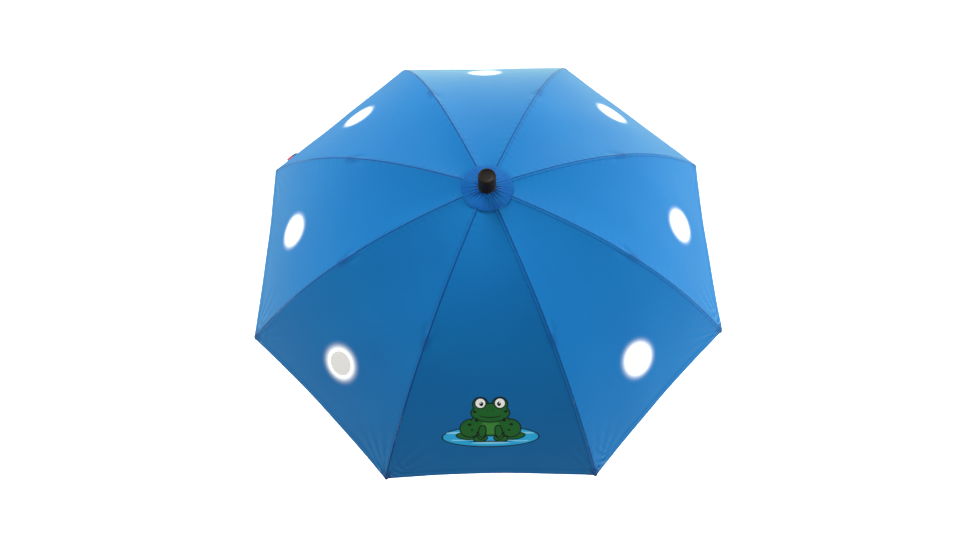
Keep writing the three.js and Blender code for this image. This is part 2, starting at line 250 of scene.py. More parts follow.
def cloth_base(tree):
    """Woven blue cloth with seam and hem lines, and painted shade at the tie dimples and the tip
    gathers; gives the colour and the cloth's coordinates.
    """
    place = attribute(tree, "cloth")
    across, up, _ = place.parts()
    from_rib, band_side, from_tip = attribute(tree, "seam").parts()
    cloud = noise(tree, 9.0, 4.0, place).ramp(0.3, 0.7)
    colour = mix_colour(tree, cloud, CLOTH_DEEP, CLOTH_BLUE)
    colour = mix_colour(tree, 0.72, colour, CLOTH_BLUE)
    turns = 2 * math.pi / WEAVE_PITCH
    weave = (across * turns).sine() * (up * turns).sine()
    colour = mix_colour(tree, weave.ramp(-1.0, 1.0) * 0.10, colour, CLOTH_DEEP)

    sewn = from_rib.ramp(1.5 * MM, 0.5 * MM)
    felled = abs(from_rib - SEAM_BAND).ramp(1.1 * MM, 0.3 * MM) * band_side
    hem = abs(up - HEM_BAND).ramp(0.8 * MM, 0.2 * MM)
    # Painted shade: the cloth darkens within 14 mm of the rib tip, where its gathered folds are
    painted_tip_shade = from_tip.ramp(14 * MM, 3 * MM)
    # Painted shade: the cloth darkens in the dimple where it is tied to the rib's joint
    tied = abs(up - TIED_HEIGHT).ramp(17 * MM, 1 * MM) * from_rib.ramp(11 * MM, 1 * MM)
    # Seam and hem lines and the painted shade, each darkening the cloth towards the seams' blue
    lines = sewn * 0.95
    for line, weight in ((felled, 0.45), (hem, 0.2), (painted_tip_shade, 0.8), (tied, 0.5)):
        lines = lines.maximum(line * weight)
    return mix_colour(tree, lines, colour, SEAM_AND_SHADE_BLUE), across, up, weave


def woven_finish(shader):
    shader.inputs["Roughness"].default_value = 0.62
    shader.inputs["Specular IOR Level"].default_value = 0.0
    shader.inputs["Sheen Weight"].default_value = 0.33
    shader.inputs["Sheen Roughness"].default_value = 0.5
    shader.inputs["Sheen Tint"].default_value = (0.72, 0.95, 0.50, 1.0)


def finish_cloth(tree, shader, colour, weave):
    connect(colour, shader.inputs["Base Color"])
    woven_finish(shader)
    slub = noise(tree, 260.0, 2.0, attribute(tree, "cloth"))
    bump(shader, slub, 0.12 * MM, 0.5, bump(shader, weave, 0.05 * MM, 0.35))


def plain_cloth():
    material, tree, shader = new_material("canopy_cloth")
    colour, _, _, weave = cloth_base(tree)
    finish_cloth(tree, shader, colour, weave)
    return material


def under_cloth():
    """The same cloth from below: duller, with no print."""
    material, tree, shader = new_material("canopy_underside")
    colour, _, _, weave = cloth_base(tree)
    finish_cloth(tree, shader, mix_colour(tree, 0.30, colour, CLOTH_DEEP), weave)
    return material


def dotted_cloth():
    """Cloth with a round white reflective dot, low on the gore, and a painted glow round it: a white
    halo mixed into the cloth, and emission at the dot's rim.
    """
    material, tree, shader = new_material("canopy_cloth_dot")
    colour, across, up, weave = cloth_base(tree)
    distance = (across**2.0 + (up - OVAL_HEIGHT) ** 2.0) ** 0.5
    # Painted glow: the cloth turns to the rim's white from HALO_RADIUS in to the dot's edge
    painted_glow = distance.ramp(HALO_RADIUS, OVAL_RADIUS) ** 3.0
    centre = distance.ramp(OVAL_RADIUS - 0.6 * MM, OVAL_RADIUS - 1.6 * MM)
    dot = mix_colour(tree, centre, PRINT_RIM_AND_GLOW, PRINT_WHITE)
    finish_cloth(tree, shader, mix_colour(tree, painted_glow, colour, dot), weave)
    # Painted glow: the dot's rim emits light, though the print is no lamp
    shader.inputs["Emission Color"].default_value = (*PRINT_RIM_AND_GLOW, 1.0)
    connect(painted_glow**3.0 * (1.0 - centre) * 0.3, shader.inputs["Emission Strength"])
    return material


# ---- Materials: the printed frog, a generic one sitting on a pond ----
INK = (0.002, 0.004, 0.006)
FROG_GREEN = (0.010, 0.125, 0.022)
FROG_LIGHT = (0.045, 0.235, 0.040)
WATER = (0.020, 0.42, 0.78)
FOAM = (0.25, 0.68, 0.92)
EYE_WHITE = (0.92, 0.92, 0.88)
OUTLINE = 1.7

# Ellipses from the back to the front: colour, x, y, half width, half height and tilt, in
# millimetres from the gore's middle and the hem, and degrees
POND = [
    (INK, 0, 68, 66.5, 18, 0), (WATER, 0, 68, 64.5, 16.2, 0),
    (FOAM, -30, 64, 24, 2.2, 3), (WATER, -29, 65.6, 23, 2.0, 3),
    (FOAM, 30, 62, 22, 2.0, -3), (WATER, 29, 63.5, 21, 1.8, -3),
    (FOAM, 46, 74, 13, 1.6, 0), (FOAM, -48, 75, 12, 1.6, 0),
    (INK, 0, 60, 30, 1.2, 0), (FOAM, 0, 57.5, 26, 1.6, 0),
]
# The frog's right half. The first value says whether an ellipse has an ink outline
FROG = [
    (True, FROG_GREEN, 33, 69, 13, 4.6, 8),
    (True, FROG_GREEN, 27, 82, 13, 14, 35),
    (True, FROG_GREEN, 14, 65, 9, 4.2, -6),
    (True, FROG_GREEN, 12, 76, 5, 12, 6),
    (True, FROG_GREEN, 0, 90, 25, 20, 0),
    (False, FROG_LIGHT, 0, 84, 13, 12, 0),
    (False, FROG_GREEN, 24, 84, 9, 11, 35),
    (True, FROG_GREEN, 11, 77, 4.2, 9, 6),
    (True, FROG_GREEN, 13, 119, 9.5, 9.5, 0),
    (True, FROG_GREEN, 0, 106, 25, 13.5, 0),
    (False, FROG_GREEN, 13, 116, 8.5, 8, 0),
    (True, EYE_WHITE, 13, 120.5, 6.6, 6.9, 0),
    (False, INK, 11.8, 119.5, 2.6, 3.2, 0),
    (False, EYE_WHITE, 12.8, 121, 0.9, 1.0, 0),
    (False, INK, 0, 103.5, 15.5, 5.4, 0),
    (False, FROG_GREEN, 0, 105.3, 17.5, 5.6, 0),
    (False, INK, 3.2, 110, 0.9, 0.7, 0),
    (False, INK, 21, 108, 2.6, 1.8, 20),
    (False, INK, 18.5, 95, 2.4, 3.0, 0),
    (False, INK, 28, 88, 2.6, 2.0, 0),
    (False, INK, 25, 79, 1.8, 1.5, 0),
]


def frog_shapes():
    """Every ellipse of the print: those off the middle line come in pairs."""
    shapes = list(POND)
    for outlined, colour, x, y, wide, high, tilt in FROG:
        for side in (1, -1) if x else (1,):
            if outlined:
                shapes.append((INK, side * x, y, wide + OUTLINE, high + OUTLINE, side * tilt))
            shapes.append((colour, side * x, y, wide, high, side * tilt))
    return shapes


def ellipse_group():
    """A node group: 1 inside a tilted ellipse, 0 outside, with a printed edge."""
    names = ("X", "Y", "Middle X", "Middle Y", "Half width", "Half height", "Cosine", "Sine")
    group = bpy.data.node_groups.new("ellipse", "ShaderNodeTree")
    for name in names:
        group.interface.new_socket(name, in_out="INPUT", socket_type="NodeSocketFloat")
    group.interface.new_socket("Inside", in_out="OUTPUT", socket_type="NodeSocketFloat")
    source = group.nodes.new("NodeGroupInput").outputs
    x, y, middle_x, middle_y, wide, high, cosine, sine = (Field(group, source[n]) for n in names)
    x = x - middle_x
    y = y - middle_y
    along = x * cosine + y * sine
    aside = y * cosine - x * sine
    reach = ((along / wide) ** 2.0 + (aside / high) ** 2.0) ** 0.5
    inside = ((reach - 1.0) * high).ramp(0.15, -0.15)
    connect(inside, group.nodes.new("NodeGroupOutput").inputs["Inside"])
    return group


def frog_cloth():
    material, tree, shader = new_material("canopy_cloth_frog")
    colour, across, up, weave = cloth_base(tree)
    x = across * 1000.0
    y = up * 1000.0
    group = ellipse_group()
    for paint, middle_x, middle_y, wide, high, tilt in frog_shapes():
        node = tree.nodes.new("ShaderNodeGroup")
        node.node_tree = group
        lean = math.radians(tilt)
        for socket, value in zip(
            node.inputs, (x, y, middle_x, middle_y, wide, high, math.cos(lean), math.sin(lean))
        ):
            connect(value, socket)
        colour = mix_colour(tree, Field(tree, node.outputs["Inside"]), colour, paint)
    finish_cloth(tree, shader, colour, weave)
    return material


def patch_cloth(name, dark, light):
    """The canopy's cloth on a small piece, with no hem or seam of its own."""
    material, tree, shader, _ = speckled(name, 60.0, 3.0, (0.3, 0.75), dark, light)
    woven_finish(shader)
    bump(shader, noise(tree, 1500.0, 1.0), 0.05 * MM, 0.5)
    return material


def strap_cloth():
    """Doubled cloth with a row of stitches near each edge."""
    material, tree, shader = new_material("strap_cloth")
    side, down, _ = attribute(tree, "cloth").parts()
    on_row = abs(abs(side) - 7.2 * MM).ramp(0.5 * MM, 0.25 * MM)
    stitch = on_row * (down * (2 * math.pi / STITCH_PITCH)).sine().ramp(-0.5, -0.2)
    shade = noise(tree, 70.0, 3.0).ramp(0.3, 0.75)
    colour = mix_colour(tree, shade, CLOTH_DEEP, CLOTH_BLUE)
    colour = mix_colour(tree, on_row * 0.5, colour, SEAM_AND_SHADE_BLUE)
    connect(mix_colour(tree, stitch, colour, STITCH_BLUE), shader.inputs["Base Color"])
    woven_finish(shader)
    bump(shader, stitch - on_row * 0.7, 0.25 * MM, 0.9)
    return material


def label_cloth():
    """A plain woven ribbon, half red and half navy."""
    material, tree, shader = new_material("label_ribbon")
    half = attribute(tree, "cloth").parts()[0].ramp(-0.02, 0.02)
    weave = noise(tree, 2200.0, 1.0)
    colour = mix_colour(tree, half, (0.008, 0.010, 0.045), (0.42, 0.020, 0.018))
    colour = mix_colour(tree, weave * 0.35, colour, (0.02, 0.01, 0.02))
    connect(colour, shader.inputs["Base Color"])
    shader.inputs["Roughness"].default_value = 0.6
    bump(shader, weave, 0.08 * MM, 0.7)
    return material


def sewing_thread():
    dark, light = (0.002, 0.03, 0.12), (0.004, 0.08, 0.28)
    material, _, shader, twist = speckled("sewing_thread", 1800.0, 2.0, (0.35, 0.7), dark, light)
    shader.inputs["Roughness"].default_value = 0.6
    bump(shader, twist, 0.06 * MM, 0.8)
    return material


# ---- Materials: plastic, steel, rod ----


def moulded_plastic(name, colour, roughness, grain):
    lighter = tuple(1.35 * c for c in colour)
    material, tree, shader, _ = speckled(name, 35.0, 4.0, (0.35, 0.75), colour, lighter)
    smudge = noise(tree, 60.0, 3.0).ramp(0.2, 0.8)
    connect(smudge * 0.14 + (roughness - 0.07), shader.inputs["Roughness"])
    shader.inputs["Specular IOR Level"].default_value = 0.1
    bump(shader, noise(tree, grain, 2.0), 0.015 * MM, 0.4)
    return material


def plated_steel():
    dark, light = (0.50, 0.51, 0.53), (0.57, 0.57, 0.58)
    material, _, shader, streak = speckled("plated_steel", 90.0, 5.0, (0.3, 0.75), dark, light)
    shader.inputs["Metallic"].default_value = 1.0
    connect(streak * 0.07 + 0.25, shader.inputs["Roughness"])
    return material


def fibreglass():
    dark, light = (0.012, 0.013, 0.015), (0.035, 0.037, 0.04)
    material, _, shader, fibre = speckled("dark_rod", 420.0, 3.0, (0.35, 0.7), dark, light)
    shader.inputs["Roughness"].default_value = 0.42
    bump(shader, fibre, 0.03 * MM, 0.5)
    return material


CLOTH = plain_cloth()
CLOTH_DOT = dotted_cloth()
CLOTH_FROG = frog_cloth()
CLOTH_UNDER = under_cloth()
CLOTH_ROSETTE = patch_cloth("rosette_cloth", (0.0001, 0.076, 0.31), CLOTH_DEEP)
CLOTH_PATCH = patch_cloth("patch_cloth", CLOTH_DEEP, CLOTH_BLUE)
STRAP_CLOTH = strap_cloth()
LABEL_CLOTH = label_cloth()
THREAD = sewing_thread()
CAP_PLASTIC = moulded_plastic("cap_plastic", (0.009, 0.0065, 0.0045), 0.5, 900.0)
BLACK_PLASTIC = moulded_plastic("black_plastic", (0.006, 0.006, 0.007), 0.34, 500.0)
STEEL = plated_steel()
DARK_ROD = fibreglass()

# ---- Canopy surface, with the rib along +X ----


def canopy_height(radius):
    t = radius / CANOPY_RADIUS
    drop = SAG_LINEAR * t + SAG_SQUARE * t**2 + SAG_CUBE * t**3
    return RIM_PLANE + CANOPY_RISE * (1 - drop)


def canopy_slope(radius):
    t = radius / CANOPY_RADIUS
    rate = SAG_LINEAR + 2 * SAG_SQUARE * t + 3 * SAG_CUBE * t**2
    return np.arctan(rate * CANOPY_RISE / CANOPY_RADIUS)


def rib_point(radius, depth):
    """The point that far below the canopy's top line over the rib, square to it."""
    slope = canopy_slope(radius)
    return Vector((radius - depth * math.sin(slope), 0, canopy_height(radius) - depth * math.cos(slope)))


GORE_STEPS = np.linspace(0, CANOPY_RADIUS, 800)
GORE_ARC = np.concatenate([[0], np.cumsum(np.hypot(
    np.diff(GORE_STEPS) * math.cos(HALF_SECTOR), np.diff(canopy_height(GORE_STEPS)),
))])


def above_hem(radius):
    """Distance up the middle of a gore from the hem's straight line."""
    return GORE_ARC[-1] - np.interp(radius, GORE_STEPS, GORE_ARC)


def bow(share):
    """0 at the rib, 1 in the middle of the gore, level there."""
    return 1 - (1 - share) ** 2


def smooth_edge(value, start, end):
    t = np.clip((value - start) / (end - start), 0, 1)
    return t * t * (3 - 2 * t)


def cloth_relief(radius, off, side, gore):
    """How far the cloth stands out of its tight surface: seam, hem, puckers and soft folds."""
    half = radius * math.sin(HALF_SECTOR)
    hem = above_hem(radius)
    band = (1 - smooth_edge(off, SEAM_BAND, SEAM_BAND + 0.8 * MM)) * (side < 0)
    groove = 1 - smooth_edge(off, 0.3 * MM, 1.3 * MM)
    relief = SEAM_RAISE * band - 0.5 * MM * groove
    relief = relief + HEM_RAISE * (1 - smooth_edge(hem, HEM_BAND, HEM_BAND + 1.5 * MM))
    phase = 1.9 * gore
    pucker = np.sin(hem * 2 * math.pi / 0.011 + phase + 2.2 * np.sin(hem * 41 + phase))
    relief = relief + 0.22 * MM * pucker * np.exp(-off / 0.007) * smooth_edge(off, 0, 0.003)
    # folds that fan out of the rib's end
    reach = np.hypot(off, hem)
    angle = np.arctan2(hem, off + 1e-6)
    fan = np.sin(angle * 17 + phase) * np.exp(-(((reach - 0.035) / 0.028) ** 2))
    relief = relief + 0.28 * MM * fan * smooth_edge(off, 0, 0.008)
    gather = np.sin(angle * 13 + 2 * phase) * np.exp(-(((reach - 0.013) / 0.010) ** 2))
    relief = relief + 0.3 * MM * gather * smooth_edge(off, 0, 0.003)
    # the dimple where the cloth is tied to the rib's joint
    tied = np.exp(-(((radius - JOINT_AT) / 0.009) ** 2) - ((off - 0.006) / 0.0045) ** 2)
    relief = relief - 0.8 * MM * tied
    # slack between the ribs
    across = (half - off) * -side
    slack = np.sin(across * 23 + phase) * np.sin(hem * 15 + 0.7 * phase)
    slack = slack + 0.6 * np.sin(across * 47 - hem * 31 + 2.3 * phase)
    return relief + 0.55 * MM * slack * bow(np.clip(off / np.maximum(half, 1e-4), 0, 2))


def gore_point(radius, off, side, gore):
    """A point of the cloth: `radius` is measured along the rib, `off` along the level chord."""
    half = radius * math.sin(HALF_SECTOR)
    share = off / np.maximum(half, 1e-5)
    middle = bow(np.clip(share, 0, 2))
    t = radius / CANOPY_RADIUS
    shifted = radius - HEM_DIP * middle * t**8 / math.cos(HALF_SECTOR)
    off = off * shifted / radius
    slope = canopy_slope(shifted)
    outward = cloth_relief(radius, off, side, gore)
    outward = outward - GORE_SAG * middle * np.sin(math.pi * np.clip(t, 0, 1) ** 0.9)
    tilt = HALF_SECTOR * smooth_edge(share, 0.0, 0.25)
    x = shifted - off * math.sin(HALF_SECTOR) + outward * np.sin(slope) * np.cos(tilt)
    y = side * (off * math.cos(HALF_SECTOR) + outward * np.sin(slope) * np.sin(tilt))
    z = canopy_height(shifted) + outward * np.cos(slope)
    return np.stack([x, y, z], -1)


def joint_line(share):
    """The canopy radius where the cloth passes nearest the rib joint's axis."""
    low, high = JOINT_AT - 0.01, JOINT_AT + 0.05
    shrink = 1 - share * math.sin(HALF_SECTOR) ** 2
    for _ in range(40):
        middle = (low + high) / 2
        ahead = (middle * shrink - JOINT_RADIUS) * shrink
        below = (canopy_height(middle) - JOINT_HEIGHT) * -math.tan(canopy_slope(middle))
        if ahead + below < 0:
            low = middle
        else:
            high = middle
    return (low + high) / 2


# ---- Mesh helpers ----


def make_object(name, vertices, faces, materials, paints=None):
    mesh = bpy.data.meshes.new(name)
    mesh.from_pydata([tuple(v) for v in vertices], [], [tuple(f) for f in faces])
    for material in materials:
        mesh.materials.append(material)
    if paints is not None:
        mesh.polygons.foreach_set("material_index", paints)
    mesh.polygons.foreach_set("use_smooth", [True] * len(mesh.polygons))
    mesh.update()
    piece = bpy.data.objects.new(name, mesh)
    bpy.context.scene.collection.objects.link(piece)
    return piece


def at_rib(index):
    """The turn from +X to a rib's azimuth; ribs count from 1."""
    return FIRST_RIB + SECTOR * (index - 1)


def turn(vertices, angle):
    c, s = math.cos(angle), math.sin(angle)
    v = np.asarray(vertices, float)
    return np.stack([v[:, 0] * c - v[:, 1] * s, v[:, 0] * s + v[:, 1] * c, v[:, 2]], -1)


def cloth_shell(name, top, normals, wide, thick, materials, attributes, exact=True):
    """A closed thin shell from a grid of points, `wide` to a row; exact keeps the grid's normals.

    Three materials are the left half's, the right half's, and the one for below and the walls.
    """
    count = len(top)
    lines = count // wide
    under = len(materials) - 1
    vertices = np.concatenate([top, top - normals * thick])
    facing = np.concatenate([normals, -normals])
    faces, paints = [], []
    for row in range(lines - 1):
        for column in range(wide - 1):
            a = row * wide + column
            quad = (a, a + wide, a + wide + 1, a + 1)
            faces += [quad, tuple(count + v for v in reversed(quad))]
            paints += [int(under > 0 and column >= wide // 2), under]
    corner_normals = [facing[corner] for face in faces for corner in face]
    rim = list(range(wide))
    rim += [row * wide + wide - 1 for row in range(1, lines)]
    rim += [(lines - 1) * wide + column for column in range(wide - 2, -1, -1)]
    rim += [row * wide for row in range(lines - 2, 0, -1)]
    for here, there in zip(rim, rim[1:] + rim[:1]):
        faces.append((here, there, there + count, here + count))
        paints.append(under)
        wall = np.cross(vertices[there] - vertices[here], vertices[here + count] - vertices[here])
        corner_normals += [wall / max(np.linalg.norm(wall), 1e-12)] * 4
    piece = make_object(name, vertices, faces, materials, paints)
    if exact:
        piece.data.normals_split_custom_set([tuple(n) for n in corner_normals])
    for label, values in attributes.items():
        layer = piece.data.attributes.new(label, "FLOAT_VECTOR", "POINT")
        layer.data.foreach_set("vector", np.concatenate([values] * 2).astype(np.float32).ravel())
    return piece


def grid(*parts):
    """Points or vectors from numbers, rows and columns that are spread over one grid."""
    return np.stack(np.broadcast_arrays(*parts), -1).reshape(-1, 3)


# ---- Canopy pieces ----
NEAR_OFFSETS = np.array([0, 0.35, 0.8, 1.4, 2.4, 3.6, 4.3, 5.2, 7.0]) * MM
FAR_COLUMNS = 22


def columns(half):
    """Distances along the chord from the rib to the gore's middle, close together at the seam."""
    squeeze = min(1.0, half / (3 * NEAR_OFFSETS[-1]))
    near = NEAR_OFFSETS * squeeze
    far = near[-1] + (half - near[-1]) * np.arange(1, FAR_COLUMNS + 1) / FAR_COLUMNS
    return np.concatenate([near, far])


def gore_half(rib, side, start, end, rows, tucked):
    """Points, normals and cloth coordinates of one ring on one side of a rib."""
    gore = rib if side > 0 else (rib - 2) % RIBS + 1
    shares = columns(JOINT_AT * math.sin(HALF_SECTOR)) / (JOINT_AT * math.sin(HALF_SECTOR))
    starts = np.array([start(s) for s in shares])
    ends = np.array([end(s) for s in shares])
    steps = np.linspace(0, 1, rows + 1)[:, None]
    radius = starts + (ends - starts) * steps
    lowered = np.zeros_like(radius)
    if tucked:
        lap = TUCK_LENGTH * smooth_edge(shares, 0.15, 0.45)
        radius = np.vstack([radius, ends + 0.2 * MM + lap * 0.2, ends + 0.4 * MM + lap])
        lowered = np.vstack([lowered, np.full((2, len(shares)), TUCK_DEPTH)])
    off = np.stack([
        [columns(r * math.sin(HALF_SECTOR))[k] for k, r in enumerate(row)] for row in radius
    ])
    nudge = 0.05 * MM
    points = gore_point(radius, off, side, gore)
    along = gore_point(radius + nudge, off, side, gore) - gore_point(radius - nudge, off, side, gore)
    across = gore_point(radius, off + nudge, side, gore) - gore_point(
        radius, np.maximum(off - nudge, 0), side, gore)
    normals = np.cross(along, across) * side
    normals[:, 0, 1] = 0
    normals /= np.linalg.norm(normals, axis=-1, keepdims=True)
    points = points - normals * lowered[..., None]
    half = radius * math.sin(HALF_SECTOR)
    cloth = np.stack([(half - off) * -side, above_hem(radius), np.full_like(off, gore)], -1)
    reach = np.hypot(off, CANOPY_RADIUS - radius)
    seam = np.stack([off, np.full_like(off, float(side < 0)), reach], -1)
    return points, normals, cloth, seam, gore


def canopy_piece(name, rib, start, end, top_materials, tucked):
    """A thin shell of cloth over one rib, from one canopy radius to another."""
    rows = max(4, round((end(0.5) - start(0.5)) / ROW_LENGTH))
    left = gore_half(rib, -1, start, end, rows, tucked)
    right = gore_half(rib, 1, start, end, rows, tucked)
    grids = [np.concatenate([a[:, :0:-1], b], axis=1) for a, b in zip(left[:4], right[:4])]
    wide = grids[0].shape[1]
    points, normals, cloth, seam = (values.reshape(-1, 3) for values in grids)
    on_seam = 1 - smooth_edge(seam[:, :1], 3.4 * MM, 4.2 * MM)
    thick = CLOTH_THICK + SEAM_ALLOWANCE * on_seam * (cloth[:, 1:2] > 0.012)
    materials = [top_materials[left[4] == RIBS], top_materials[right[4] == RIBS], CLOTH_UNDER]
    points, normals = turn(points, at_rib(rib)), turn(normals, at_rib(rib))
    return cloth_shell(name, points, normals, wide, thick, materials, {"cloth": cloth, "seam": seam})


def cut_size(start, end):
    """Flat width, length and area of one rib-centred piece, in metres."""
    radii = np.linspace(start, end, 60)
    arc = np.hypot(np.diff(radii), np.diff(canopy_height(radii)))
    widths = 2 * radii * math.sin(HALF_SECTOR)
    area = float(np.sum(arc * (widths[1:] + widths[:-1]) / 2))
    return float(widths[-1]), float(np.sum(arc)), area


def level(radius):
    """A ring's edge at one canopy radius all the way across."""
    return lambda share: radius


def ring_plan():
    """Each ring's name, ends, body, share of its width kept when shut, and materials."""
    plain = {False: CLOTH, True: CLOTH}
    printed = {False: CLOTH_DOT, True: CLOTH_FROG}
    plan = []
    for number, (start, keep) in enumerate(INNER_RINGS):
        last = number + 1 == len(INNER_RINGS)
        end = joint_line if last else level(INNER_RINGS[number + 1][0])
        plan.append((f"ring_{number + 1}", level(start), end, "inner_rib", keep, plain))
    upper_edge = joint_line
    for number, (radius, keep) in enumerate(SKIRT_RINGS):
        plan.append((f"skirt_{number + 1}", upper_edge, level(radius), "outer_rib", keep, printed))
        upper_edge = level(radius)
    return plan


def fold_with_ribs(piece, rib, body, node):
    """The piece rides on its rib."""
    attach(piece, f"{body}_{rib}")
    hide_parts(node)
    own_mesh(piece)


def build_canopy():
    for rib in range(1, RIBS + 1):
        for label, start, end, body, keep, materials in ring_plan():
            tucked = end is joint_line
            piece = canopy_piece(f"canopy_{label}_{rib}", rib, start, end, materials, tucked)
            fold_with_ribs(piece, rib, body, f"canopy_panel_{rib}")
            width, length, area = cut_size(start(0.5), end(0.5))


build_canopy()

# ---- Shapes for the hard parts: every helper gives (vertices, faces) ----


def joined(*shapes):
    vertices, faces = [], []
    for points, shape_faces in shapes:
        start = sum(len(v) for v in vertices)
        vertices.append(np.asarray(points, float))
        faces += [tuple(start + i for i in face) for face in shape_faces]
    return np.concatenate(vertices), faces


def skin(rings, closed=False):
    """Loops of equal length joined in order, with flat ends unless the last meets the first."""
    count = len(rings[0])
    vertices = np.concatenate([np.asarray(ring, float) for ring in rings])
    faces = []
    pairs = list(zip(range(len(rings)), range(1, len(rings))))
    if closed:
        pairs.append((len(rings) - 1, 0))
    for low, high in pairs:
        for i in range(count):
            j = (i + 1) % count
            faces.append((low * count + i, low * count + j, high * count + j, high * count + i))
    if not closed:
        faces.append(tuple(range(count - 1, -1, -1)))
        faces.append(tuple((len(rings) - 1) * count + i for i in range(count)))
    return vertices, faces


def scaled(profile, base=0.0):
    """(radius, height) points in millimetres, turned into metres and raised by `base`."""
    return [(r * MM, base + h * MM) for r, h in profile]


def full_turn(steps):
    return np.arange(steps) * 2 * math.pi / steps


def revolve(profile, sides, hole=False):
    """A turned part about +Z. Its profile goes up the outside, and with a hole closes on itself."""
    angles = full_turn(sides)
    outward = np.stack([np.cos(angles), np.sin(angles)], -1)
    inner = profile if hole else profile[1:-1]
    rings = [np.column_stack([outward * r, np.full(sides, height)]) for r, height in inner]
    vertices, faces = skin(rings, closed=hole)
    if hole:
        return vertices, faces
    ends = len(vertices)
    vertices = np.concatenate([vertices, [(0, 0, profile[0][1])], [(0, 0, profile[-1][1])]])
    faces = faces[:-2]
    last = ends - sides
    for i in range(sides):
        j = (i + 1) % sides
        faces += [(ends, j, i), (ends + 1, last + i, last + j)]
    return vertices, faces


def slab(loops, near, far):
    """A flat outline in X and Z, the first loop outside and the rest holes, from y=near to y=far."""
    flat = [Vector((x, z, 0)) for loop in loops for x, z in loop]
    triangles = tessellate_polygon([[Vector((x, z, 0)) for x, z in loop] for loop in loops])
    count = len(flat)
    vertices = [(p.x, near, p.y) for p in flat] + [(p.x, far, p.y) for p in flat]
    faces = []
    for triangle in triangles:
        a, b, c = (flat[i] for i in triangle)
        if (b - a).cross(c - a).z < 0:
            triangle = tuple(reversed(triangle))
        faces.append(tuple(triangle))
        faces.append(tuple(count + i for i in reversed(triangle)))
    start = 0
    for number, loop in enumerate(loops):
        turning = sum(x0 * z1 - x1 * z0 for (x0, z0), (x1, z1) in zip(loop, loop[1:] + loop[:1]))
        forward = (turning > 0) == (number == 0)
        for i in range(len(loop)):
            a, b = start + i, start + (i + 1) % len(loop)
            faces.append((b, a, count + a, count + b) if forward else (a, b, count + b, count + a))
        start += len(loop)
    return np.array(vertices), faces


def arc(centre, radius, start, end, steps):
    """Points round a centre, from one angle in degrees to another."""
    angles = np.radians(np.linspace(start, end, steps + 1))
    return [(centre[0] + radius * math.cos(a), centre[1] + radius * math.sin(a)) for a in angles]


def circle(centre, radius):
    return arc(centre, radius, 0, 345, 23)


def moved(shape, matrix):
    vertices, faces = shape
    points = [tuple(matrix @ Vector(v)) for v in vertices]
    return np.array(points), faces


def softened(shape, width):
    """The same shape with its sharp edges rounded over."""
    mesh = bmesh.new()
    points = [mesh.verts.new(tuple(v)) for v in shape[0]]
    for face in shape[1]:
        if len(set(face)) > 2:
            mesh.faces.new([points[i] for i in face])
    bmesh.ops.recalc_face_normals(mesh, faces=mesh.faces)
    bmesh.ops.dissolve_limit(
        mesh, angle_limit=math.radians(1), verts=mesh.verts, edges=mesh.edges)
    edges = [e for e in mesh.edges if len(e.link_faces) == 2
             and e.calc_face_angle(0) > math.radians(40)]
    bmesh.ops.bevel(mesh, geom=edges, offset=width, segments=2, affect="EDGES",
                    clamp_overlap=True, profile=0.5)
    mesh.verts.index_update()
    result = np.array([tuple(v.co) for v in mesh.verts]), [
        tuple(v.index for v in face.verts) for face in mesh.faces]
    mesh.free()
    return result


def hard_piece(name, shape, material, body, node):
    piece = make_object(name, *shape, [material])
    piece.data.set_sharp_from_angle(angle=math.radians(32))
    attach(piece, body)
    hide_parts(node)
    return piece


# ---- Ribs and stretchers ----
WALL = 0.45 * MM
CHANNEL_HALF = 1.6 * MM
TONGUE_HALF = 0.8 * MM
CHANNEL_HEIGHT = 3.0 * MM
EYE_RADIUS = 2.1 * MM
PIN_HOLE = 1.15 * MM
JOINT_PLACE = (JOINT_RADIUS, JOINT_HEIGHT)


def channel(half, height):
    """A pressed U section, open below, as (sideways, up) points."""
    corner = min(0.75 * MM, half * 0.6)
    inner = half - min(WALL, half * 0.75)
    top, bottom = height / 2, -height / 2
    outside = [(-half, bottom), (-half, 0)]
    outside += arc((corner - half, top - corner), corner, 180, 90, 4)
    outside += arc((half - corner, top - corner), corner, 90, 0, 4) + [(half, 0), (half, bottom)]
    tight = corner * inner / half
    inside = [(inner, bottom), (inner, 0)]
    inside += arc((inner - tight, top - WALL - tight), tight, 0, 90, 4)
    inside += arc((tight - inner, top - WALL - tight), tight, 90, 180, 4)
    return outside + inside + [(-inner, 0), (-inner, bottom)]


def along_line(section, place, slope, flip=1):
    """A section of (sideways, up) points set square across a line that dips by `slope`."""
    x, z = place
    return [(x + up * flip * math.sin(slope), side, z + up * flip * math.cos(slope))
            for side, up in section]


def eye(centre, radius, hole, half):
    """A flat ring for a pin or a wire."""
    return softened(slab([circle(centre, radius), circle(centre, hole)], -half, half), 0.15 * MM)


def cheeks(back, inside, outside):
    """Two plates beside the rib joint, each with the pin's hole and reaching back to `back`."""
    x, z = JOINT_PLACE
    away = math.degrees(math.atan2(z - back[1], x - back[0]))
    half = 1.9 * MM
    side = np.array([-math.sin(math.radians(away)), math.cos(math.radians(away))]) * half
    outline = [tuple(np.array(back) + side), tuple(np.array(back) - side)]
    outline += arc(JOINT_PLACE, half, away - 90, away + 90, 14)
    loops = [outline, arc(JOINT_PLACE, PIN_HOLE, 0, 342, 19)]
    return [softened(slab(loops, near, far), 0.18 * MM)
            for near, far in ((-outside, -inside), (inside, outside))]


def rib_section(section, radius):
    place = rib_point(radius, RIB_DEPTH)
    return along_line(section, (place.x, place.z), canopy_slope(radius))


def blend_sizes(value, marks):
    """A size that runs through (place, size) marks."""
    places, sizes = zip(*marks)
    return float(np.interp(value, places, sizes))


def stations(marks, steps):
    """Even places from the first mark to the last, and the marks' own places."""
    places = [place for place, _ in marks]
    return sorted({*np.linspace(places[0], places[-1], steps), *places})


